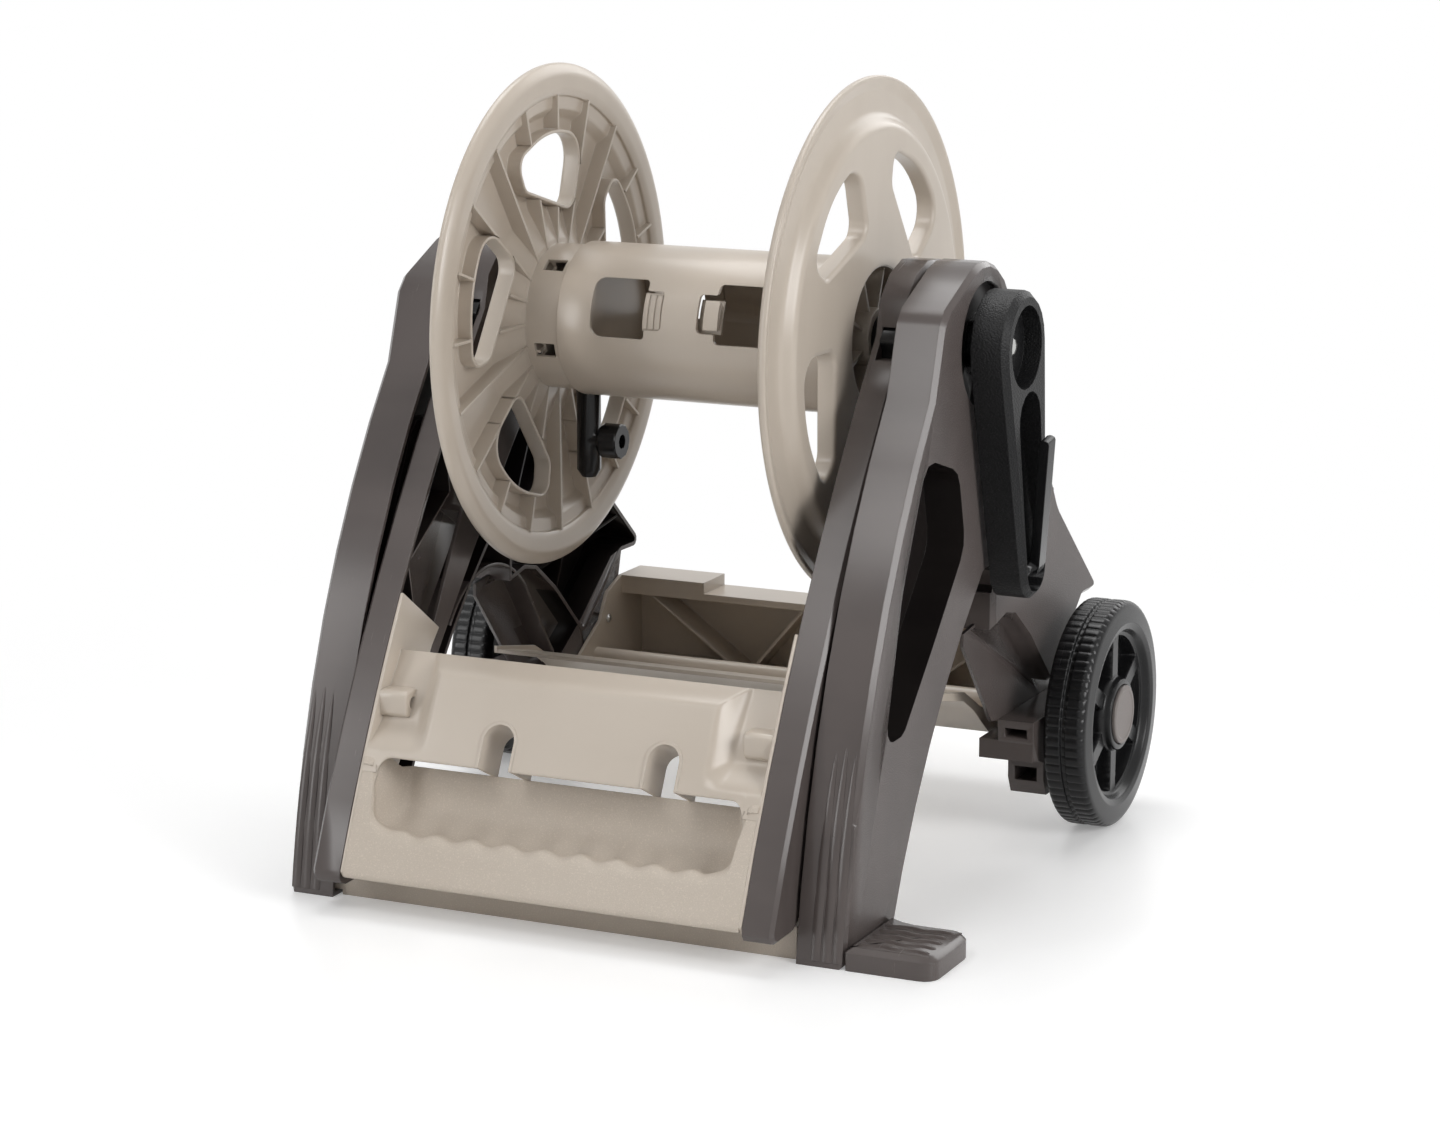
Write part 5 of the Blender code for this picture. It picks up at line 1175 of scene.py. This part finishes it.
@dataclass
class HandleMoulding:
    """The handle's pale moulding: notched front wall, slot frame, waved grip bar, bosses and cheeks."""

    centre: Array
    half: float = 0.1707
    wall: float = 0.003
    slot_low: float = 0.067
    slot_top: float = 0.118
    panel_low: float = 0.1795
    panel_top: float = 0.1905
    back_top: float = 0.106
    setback: float = 0.014
    ledge: float = 0.020
    notches: tuple[float, float] = (-0.056, 0.084)
    notch_half: float = 0.013
    notch_rise: float = 0.027
    notch_depth: float = 0.035
    lip: float = 0.0025
    wave_pitch: float = 0.031
    wave_depth: float = 0.0034
    screw: tuple[float, float] = (-0.236, 0.155)
    boss_half: float = 0.0105
    boss_bore: float = 0.0050
    boss_reach: float = 0.027
    slot_corner: float = 0.011
    bar_corner: float = 0.019
    bar_foot: float = 0.0287

    def shifted(self, x: Array, y: Array, z: Array) -> Array:
        """Points of the cart's own axes, moved to the row frame."""
        return np.stack(np.broadcast_arrays(x + self.centre[0], y + self.centre[1], z), -1)

    def build(self, shop: Workshop) -> None:
        """Builds the smooth upper part and the grained grip bar."""
        pieces = [self.front_wall(), *self.lips(), *self.bosses(), *self.cheeks()]
        upper = joined("handle_front_wall", pieces)
        crease(upper)
        shop.place(upper, "handle", "smooth_beige", "handle_grip")
        shop.place(self.grip_bar(), "handle", "grained_beige")

    def recess(self, x: Array, z: Array) -> Array:
        """How far the wall stands back from the arc: in soft-sided bays at both ends, and on the top ledge.

        The bay is the product of a soft step of |x| and one of z; the ledge starts with a curve t²(2 - t).
        """
        bay = smooth(np.abs(x), 0.117, 0.137) * smooth(z, 0.123, 0.142)
        bay = bay * (self.setback + 0.006 * smooth(z, 0.150, self.panel_top))
        t = np.clip((z - self.panel_low) / (self.panel_top - self.panel_low), 0, 1)
        return np.maximum(bay, self.ledge * t * t * (2 - t))

    def front_wall(self) -> Piece:
        """The wall over the hand slot, its lower edge turned inwards and its slot corners rounded."""
        inner = self.half - 0.5 * self.wall
        x = np.linspace(-inner, inner, 229)[None, :]
        turned_in = np.array([0.007, 0.004, 0.0018, 0.0006, 0.0001])
        rise = np.array([0.0, 0.0, 0.0, 0.0005, 0.0013])
        inwards = np.concatenate([turned_in, np.zeros(62)])[:, None] * (1 - smooth(np.abs(x), 0.1495, 0.1555))
        share = np.concatenate([np.zeros(5), np.linspace(0.0, 1.0, 62)])[:, None]
        bead = np.concatenate([rise, np.full(62, 0.0022)])[:, None]
        corner = self.slot_corner
        past = np.clip(np.abs(x) - (self.slot_side - corner), 0, corner)
        low = self.slot_top - (corner - np.sqrt(corner**2 - past**2))
        z = low + bead + share * (self.panel_top - low - 0.0022)
        y = arm_front(z) + inwards + self.recess(x, z)
        wall = shell("front_wall", self.shifted(x, y, z), self.wall, (0, 1, 0))
        return carved(wall, *self.notch_tools())

    @property
    def slot_side(self) -> float:
        """Half the hand slot's width."""
        return self.half - 0.0155

    def notch_frame(self) -> tuple[Array, Array, Array]:
        """The foot of the notches, the way up along the wall, and the way in square to it."""
        lean = math.atan2(float(arm_front(0.155) - arm_front(0.115)), 0.040)
        foot = self.shifted(0.0, arm_front(0.115), 0.115)
        rise, run = math.cos(lean), math.sin(lean)
        return foot, np.array([0, run, rise]), np.array([0, rise, -run])

    def notch_path(self, x: float, grow: float, low: float) -> Array:
        """One U-shaped notch, open below, grown outwards by some amount and starting at a low point."""
        foot, up, _ = self.notch_frame()
        turn = np.linspace(0, math.pi, 25)
        radius = self.notch_half + grow
        across = np.concatenate([[radius], radius * np.cos(turn), [-radius]])
        along = np.concatenate([[low], self.notch_rise + radius * np.sin(turn), [low]])
        return foot + np.array([1.0, 0, 0]) * (x + across)[:, None] + up * along[:, None]

    def notch_tools(self) -> list[Piece]:
        """The shapes that clear the notches."""
        _, _, inwards = self.notch_frame()
        return [
            carried("notch", self.notch_path(x, 0.0004, -0.014), -0.02 * inwards, 0.05 * inwards)
            for x in self.notches
        ]

    def lips(self) -> list[Piece]:
        """The walls that line the notches, a little proud of the front and deep behind it."""
        _, _, inwards = self.notch_frame()
        return [
            strip(
                "notch_lip",
                self.notch_path(x, 0.0, 0.0045),
                self.notch_path(x, self.lip, 0.0045),
                -0.0009 * inwards,
                self.notch_depth * inwards,
            )
            for x in self.notches
        ]

    def bosses(self) -> list[Piece]:
        """Rounded square screw bosses on the cheeks, each bored for its screw.

        The outline follows |u|⁵ + |v|⁵ = 1, which is a square with soft corners.
        """
        circle = around(np.linspace(0, 2 * math.pi, 40, endpoint=False))
        square = self.boss_half / (np.abs(circle) ** 5).sum(1, keepdims=True) ** 0.2 * circle
        place = np.array(self.screw) + (self.centre[1], 0)
        pieces = []
        for side in SIDES:
            body = ends(self.centre[0], side, self.half - self.boss_reach, self.half - 0.001)
            boss = bevelled(slab("boss", square + place, *body), 0.002, 3)
            way = ends(self.centre[0], side, self.half - 0.04, self.half - 0.004)
            pieces.append(carved(boss, slab("boss_bore", self.boss_bore * circle + place, *way)))
        return pieces

    def cheeks(self) -> list[Piece]:
        """The plates beside the arms, with their pointed tops."""
        z = np.linspace(0.034, 0.2347, 14)
        edge = np.stack([arm_front(z), z], 1)
        rest = [(-0.149, 0.195), (-0.161, 0.183), (-0.2625, 0.031), (-0.3035, 0.0288)]
        outline = np.concatenate([edge, rest]) + (self.centre[1], 0)
        reaches = [ends(self.centre[0], side, self.half - self.wall, self.half) for side in SIDES]
        return [bevelled(slab("cheek", outline, *reach), 0.0008) for reach in reaches]

    def grip_bar(self) -> Piece:
        """The grip bar, its trough and the back wall as one sheet, which closes the slot's ends.

        Its top edge dips by a raised cosine of the wave pitch for each finger, and climbs a quarter circle
        at both ends. The depth of the trough and back wall fades to nothing there by a soft step of |x|.
        """
        inner = self.half - self.wall + 0.0004
        x = np.linspace(-inner, inner, 161)[None, :]
        far = np.abs(x)
        fingers = 0.5 - 0.5 * np.cos(2 * math.pi * (x + 0.0035) / self.wave_pitch)
        wave = self.wave_depth * fingers * (1 - smooth(far, 0.126, 0.141))
        corner = self.bar_corner
        past = np.clip(far - (self.slot_side - corner), 0, corner * 0.995)
        back_top = self.back_top + 0.0115 * smooth(far, 0.146, 0.156)
        climb = corner - np.sqrt(corner**2 - past**2) + (back_top - 0.086) * smooth(far, 0.1525, 0.1605)
        top = np.minimum(self.slot_low - wave + climb, back_top)
        ease = 1 - smooth(far, 0.1405, 0.1625)
        low = self.bar_foot
        rows = [(0.022, low), (0.008, low), (0.0045, low + 0.0004)]
        rows += [(0.0022, low + 0.0016), (0.0006, low + 0.0036)]
        rows += [(0.0, low + 0.006 + share * (top - low - 0.012)) for share in np.linspace(0, 1, 12)]
        rows += [(0.0004, top - 0.0042), (0.0014, top - 0.0022), (0.0032, top - 0.0006)]
        rows += [(0.0056 * (0.3 + 0.7 * ease), top), (0.0085 * ease + 0.0017, top - 0.0006)]
        rows += [(0.0125 * ease + 0.0017, top - 0.0025), (0.0165 * ease + 0.0017, top - 0.0040)]
        trough = top - 0.0045
        for share, depth in zip(*self.back_profile()):
            rows.append((depth * ease + 0.0017, trough + (back_top - trough) * share))
        inwards, z = (np.stack([np.broadcast_to(row[part], x.shape)[0] for row in rows]) for part in (0, 1))
        sunk = 0.0003 * smooth(z, 0.1045, 0.107) * (far > 0.150)
        y = arm_front(z) + inwards + sunk
        return shell("handle_grip_bar", self.shifted(x, y, z), 0.0028, (0, 1, 0))

    @staticmethod
    def back_profile() -> tuple[Array, Array]:
        """The back wall's depth behind the arc by its share of the way up: round, then leaning forward."""
        share = np.linspace(0.0, 1.0, 16)
        bend = 1 - (1 - np.clip(share / 0.38, 0, 1)) ** 2.2
        return share, 0.020 + 0.0165 * bend - 0.0055 * smooth(share, 0.35, 1.0)


@dataclass
class FrameTrim:
    """The three flutes low on each front leg, and the wavy ridges on the step foot."""

    centre: Array
    foot: tuple[float, float] = (-0.272, 0.0)
    top: tuple[float, float] = (-0.1055, 0.400)
    bow: float = 0.029
    middle: float = 0.2235
    pitch: float = 0.0078
    flute_height: float = 0.162
    flute_width: float = 0.0076
    flute_rise: float = 0.0007
    pad: tuple[float, float, float, float] = (0.243, 0.3035, -0.266, -0.201)
    pad_top: float = 0.018
    ridge_rise: float = 0.0011
    ridges: int = 5

    def build(self, shop: Workshop) -> None:
        """Builds the flutes of both legs and the foot's ridges."""
        for side, name in SIDES.items():
            flutes = [self.flute(side, step) for step in (-1, 0, 1)]
            shop.place(joined(f"{name}_leg_flutes", flutes), "frame", "smooth_taupe")
        shop.place(self.foot_ridges(), "frame", "smooth_taupe")

    def flute(self, side: int, step: int) -> Piece:
        """One flute: a half round strip up the leg's front, h·cos(πu/2)·e(z), with a pointed top."""
        z = np.linspace(0.004, self.flute_height - 0.006 * abs(step), 40)[:, None]
        u = np.linspace(-1, 1, 9)[None, :]
        ease = np.sqrt(np.clip((z.max() - z) / 0.075, 0.0004, 1))
        lean = step * (self.pitch + 0.0012 * (1 - z / self.flute_height))
        x = side * (self.middle + lean) + u * self.flute_width / 2 * ease
        y = bowed(z, self.foot, self.top, self.bow) + 0.0001
        y = y - self.flute_rise * ease * np.cos(u * math.pi / 2)
        front = np.stack(np.broadcast_arrays(x + self.centre[0], y + self.centre[1], z), -1)
        return shell("leg_flute", front, 0.0010, (0, 1, 0))

    def foot_ridges(self) -> Piece:
        """Rounded ridges across the foot: a power of a cosine, along lines that wave in X."""
        west, east, south, north = self.pad
        x = np.linspace(west, east, 90)[:, None]
        y = np.linspace(south, north, 120)[None, :]
        wave = 0.0016 * np.sin((x - west) / (east - west) * 4.5 * math.pi)
        share = (y + wave - south) / (north - south) * self.ridges
        ridge = (0.5 - 0.5 * np.cos(2 * math.pi * share)) ** 1.5
        edge = smooth(x, west, west + 0.006) * (1 - smooth(x, east - 0.008, east))
        edge = edge * smooth(y, south, south + 0.004) * (1 - smooth(y, north - 0.006, north))
        away = np.hypot(x - east + 0.02, y - (south + north) / 2)
        rounded = 1 - smooth(away, 0.034, 0.040) * (x > east - 0.02)
        z = self.pad_top - 0.0003 + (self.ridge_rise + 0.0003) * ridge * edge * rounded
        top = np.stack(np.broadcast_arrays(x + self.centre[0], y + self.centre[1], z), -1)
        return shell("foot_ridges", top, 0.0012, (0, 0, -1))


@dataclass
class Wheel:
    """A wheel with two ribbed tread bands and a dished face with pockets, and its cap."""

    centre: Array
    side: int
    radius: float = 0.095
    width: float = 0.039
    inner_face: float = 0.256
    treads: int = 72
    samples: int = 432
    spokes: int = 6
    cap_radius: float = 0.0245

    def section(self) -> Array:
        """The wheel's section as (radius, distance from its inner face), finely spaced and rounded."""
        r, w = self.radius, self.width
        corners = [
            (0.0064, 0.0, 0),
            (0.018, 0.0, 0.001),
            (0.018, 0.012, 0.002),
            (r - 0.026, 0.012, 0.002),
            (r - 0.026, 0.002, 0.002),
            (r - 0.010, 0.0, 0.004),
            (r, 0.003, 0.0045),
            (r, w / 2 - 0.003, 0.0008),
            (r - 0.0022, w / 2 - 0.002, 0.0008),
            (r - 0.0022, w / 2 + 0.001, 0.0008),
            (r, w / 2 + 0.002, 0.0008),
            (r, w - 0.002, 0.006),
            (r - 0.018, w, 0.003),
            (r - 0.0235, w - 0.0015, 0.002),
            (r - 0.0265, w - 0.008, 0.002),
            (0.031, w - 0.008, 0.002),
            (0.0295, w - 0.0015, 0.001),
            (0.0251, w - 0.001, 0.0006),
            (0.0251, w - 0.008, 0),
            (0.0064, w - 0.008, 0),
        ]
        path = filleted(corners, 5)
        step = np.roll(path, -1, 0) - path
        length = np.linalg.norm(step, axis=1)
        rows = []
        for start, move, span in zip(path, step, length):
            count = max(1, int(math.ceil(span / 0.0016)))
            rows.append(start + move * np.linspace(0, 1, count, endpoint=False)[:, None])
        return np.concatenate(rows)

    def build(self, shop: Workshop) -> None:
        """Builds the wheel and its cap.

        The section is carried round the axle. The tread is cut back by a row of shallow notches, as a soft
        step of the cosine of the angle, and the dished face sinks into pockets between the spokes.
        """
        section = self.section()
        angle = np.linspace(0, 2 * math.pi, self.samples, endpoint=False)[:, None]
        radius, along, _ = np.broadcast_arrays(section[None, :, 0], section[None, :, 1], angle)
        on_tread = smooth(radius, self.radius - 0.0035, self.radius - 0.0015)
        notch = smooth(np.cos(self.treads * angle), 0.35, 0.85)
        notched = radius - 0.0009 * on_tread * notch
        share = (angle / (2 * math.pi) * self.spokes) % 1.0
        spoke = 1.0 - smooth(np.abs(share - 0.5) * 2 * math.pi / self.spokes * radius, 0.0065, 0.0085)
        face = (along > self.width / 2) & (radius > 0.0300) & (radius < self.radius - 0.0245)
        span = smooth(radius, 0.0315, 0.0345) * (1 - smooth(radius, 0.0630, 0.0660))
        sink = np.where(face & (along < self.width - 0.004), (1 - spoke) * span * 0.012, 0.0)
        x = self.side * (self.inner_face + along - sink)
        points = np.stack([x, notched * np.cos(angle), notched * np.sin(angle)], -1)
        centre = np.array([joint_place("reel_spin")[0], self.centre[1], self.centre[2]])
        name = SIDES[self.side]
        faces = grid_faces(self.samples, len(section), True, True)
        wheel = new_object(f"{name}_wheel_tyre", points + centre, faces)
        shop.place(wheel, f"{name}_wheel", "tread_black", f"wheel_{name}")
        shop.place(self.cap(name, centre), f"{name}_wheel", "cap_taupe", f"hub_cap_{name}")

    def cap(self, name: str, centre: Array) -> Piece:
        """The round cap over the hub, with its outer rim a little proud of its face."""
        foot, top = self.width - 0.0015, self.width + 0.0015
        corners = [
            (0.0, foot, 0),
            (self.cap_radius, foot, 0),
            (self.cap_radius, top - 0.0004, 0.0008),
            (self.cap_radius - 0.0035, top, 0.001),
            (self.cap_radius - 0.0045, top - 0.0006, 0.0005),
            (0.0, top - 0.0003, 0),
        ]
        profile = np.maximum(filleted(corners, 4), 0.0) + (0, self.inner_face)
        piece = revolved(f"{name}_wheel_cap", profile, centre, self.side, 72)
        edit(piece, lambda: bpy.ops.mesh.remove_doubles(threshold=MERGE))
        turn_outwards(piece)
        crease(piece)
        return piece


@dataclass
class Studio:
    """The pale floor, the soft lamps and the camera."""

    centre: Array
    camera_place: tuple[float, float, float] = (1.28755, -2.74872, 0.8908)
    camera_tilt: float = 12.19
    camera_turn: float = 24.92
    focal_pixels: float = 3829.0
    picture_width: float = 1440.0
    film_width: float = 36.0
    sky_light: float = 0.24
    floor_glow: float = 0.24
    fade_start: float = 0.55
    fade_end: float = 1.15

    def build(self) -> None:
        """Builds the floor, world, lamps and camera."""
        bpy.context.scene.view_settings.view_transform = "Standard"
        self.floor()
        self.world()
        self.lamp("right_softbox", (2.4, -0.8, 1.3), (1.2, 1.2), 36.0)
        self.lamp("front_softbox", (-0.5, -1.9, 2.4), (1.0, 0.8), 14.0)
        self.lamp("left_strip", (-1.6, -1.9, 0.8), (0.4, 1.4), 12.0)
        self.lamp("top_softbox", (-0.3, 0.6, 2.5), (1.4, 1.4), 26.0)
        self.lamp("back_softbox", (0.6, 2.2, 1.5), (1.2, 1.2), 10.0)
        self.camera()

    def floor(self) -> None:
        """A wide sheet that curves up behind the cart: z rises with the square of the distance.

        Near the cart it takes light and shadow. Further out it fades to white for the camera and in gloss.
        """
        rows, columns = 24, 60
        x, y = np.meshgrid(np.linspace(-6.0, 6.0, rows), np.linspace(-4.0, 6.0, columns), indexing="ij")
        points = np.stack([x, y, 0.16 * np.clip(y - 2.2, 0, None) ** 2], -1)
        piece = new_object("floor_sheet", points, grid_faces(rows, columns, False, False), False)
        made = bpy.data.materials.new("floor_white")
        made.use_nodes = True
        shader = Shader(made.node_tree)
        bsdf = made.node_tree.nodes["Principled BSDF"]
        place = shader.add("ShaderNodeTexCoord").outputs["Object"]
        tone = shader.mix(shader.noise(place, 1.5), (0.86, 0.86, 0.86, 1), (0.88, 0.88, 0.88, 1))
        seen = self.seen(shader)
        glow = shader.math("MULTIPLY", seen, self.floor_glow)
        shader.put(tone, bsdf.inputs["Base Color"])
        shader.put(0.35, bsdf.inputs["Roughness"])
        shader.put((1, 1, 1, 1), bsdf.inputs["Emission Color"])
        shader.put(glow, bsdf.inputs["Emission Strength"])
        away = shader.add("ShaderNodeVectorMath", operation="LENGTH")
        shader.put(place, away.inputs[0])
        fade = shader.ramp(away.outputs["Value"], self.fade_start, self.fade_end)
        white, blend = shader.add("ShaderNodeEmission"), shader.add("ShaderNodeMixShader")
        sources = (shader.math("MULTIPLY", seen, fade), bsdf.outputs[0], white.outputs[0])
        for source, socket in zip(sources, blend.inputs):
            shader.put(source, socket)
        shader.put(blend.outputs[0], made.node_tree.nodes["Material Output"].inputs["Surface"])
        piece.data.materials.append(made)

    def world(self) -> None:
        """A plain pale sky that reads white to the camera and in gloss."""
        world = bpy.data.worlds.new("studio")
        bpy.context.scene.world = world
        world.use_nodes = True
        shader = Shader(world.node_tree)
        background = world.node_tree.nodes["Background"]
        background.inputs["Color"].default_value = (1, 1, 1, 1)
        extra = shader.math("MULTIPLY", self.seen(shader), 1.0 - self.sky_light)
        level = shader.math("ADD", self.sky_light, extra)
        shader.put(level, background.inputs["Strength"])

    @staticmethod
    def seen(shader: Shader) -> Socket:
        """1 for what the camera sees, also in gloss and through clear pieces, and 0 for light on the cart."""
        path = shader.add("ShaderNodeLightPath")
        seen = shader.math("MAXIMUM", path.outputs["Is Camera Ray"], path.outputs["Is Transmission Ray"])
        return shader.math("MAXIMUM", seen, path.outputs["Is Glossy Ray"])

    def lamp(
        self, name: str, place: tuple[float, float, float], size: tuple[float, float], power: float
    ) -> None:
        """One soft oblong lamp that looks at the cart.

        Args:
            name: The lamp's name.
            place: Where it stands.
            size: Its width and height.
            power: Its power in watts.
        """
        light = bpy.data.lights.new(name, "AREA")
        light.shape = "RECTANGLE"
        light.size, light.size_y = size
        light.energy = power
        piece = bpy.data.objects.new(name, light)
        piece.visible_camera = False
        piece.location = place
        x, y, z = (self.centre - place) / np.linalg.norm(self.centre - place)
        piece.rotation_euler = math.acos(-z), 0.0, math.atan2(-x, y)
        bpy.context.scene.collection.objects.link(piece)

    def camera(self) -> None:
        """The camera at the photograph's angle."""
        lens = bpy.data.cameras.new("camera")
        lens.sensor_width = self.film_width
        lens.lens = self.focal_pixels / self.picture_width * self.film_width
        lens.clip_end = 60.0
        piece = bpy.data.objects.new("camera", lens)
        piece.location = self.camera_place
        piece.rotation_euler = (math.radians(90 - self.camera_tilt), 0.0, math.radians(self.camera_turn))
        bpy.context.scene.collection.objects.link(piece)
        bpy.context.scene.camera = piece


# Columns: finish, the near-black finish that paints shade on deep faces (empty for none), nodes.
RECASTS = (
    ("frame_taupe", "hollow_taupe", ("frame_left", "frame_right")),
    ("smooth_taupe", "hollow_taupe", ("arm_left", "arm_right")),
    ("smooth_beige", "", ("rear_tray",)),
    ("grained_beige", "", ("front_crossbar",)),
    ("frame_taupe", "", ("step_foot",)),
    ("smooth_taupe", "", ("axle_carrier_left", "axle_carrier_right")),
    ("grained_black", "", ("crank_arm",)),
    ("smooth_black", "", ("crank_grip", "water_tube", "outlet_coupling", "inlet_elbow", "inlet_nut")),
    ("seal_rubber", "", ("inlet_seal",)),
    ("smooth_black", "", ("latch_left", "latch_right", "bearing_left", "bearing_right")),
    ("zinc_steel", "", ("axle", "axle_ring_left", "axle_ring_right", "crank_nut", "crank_pin")),
    ("zinc_steel", "", ("crank_screw", "crossbar_screw_left", "crossbar_screw_right")),
    ("zinc_steel", "", ("handle_screw_left", "handle_screw_right", "tray_screw_left", "tray_screw_right")),
)


def main() -> None:
    """Builds every piece in order, then the studio."""
    logging.basicConfig(level=logging.INFO, format="%(message)s")
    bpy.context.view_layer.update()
    shop = Workshop()
    hub = joint_place("reel_spin")
    pieces = {
        node: Recast(node, finish, painted_shade).build(shop) for finish, painted_shade, nodes in RECASTS for node in nodes
    }
    ArmSide(hub).build({side: pieces[f"arm_{name}"] for side, name in SIDES.items()}, shop)
    for assembly in (Reel, Drum, HandleMoulding, FrameTrim, ArchCrown):
        assembly(hub).build(shop)
    for side, name in SIDES.items():
        Wheel(joint_place(f"{name}_wheel_roll"), side).build(shop)
    Studio(np.array([0.0, 0.0, 0.3])).build()


if __name__ == "__main__":
    main()
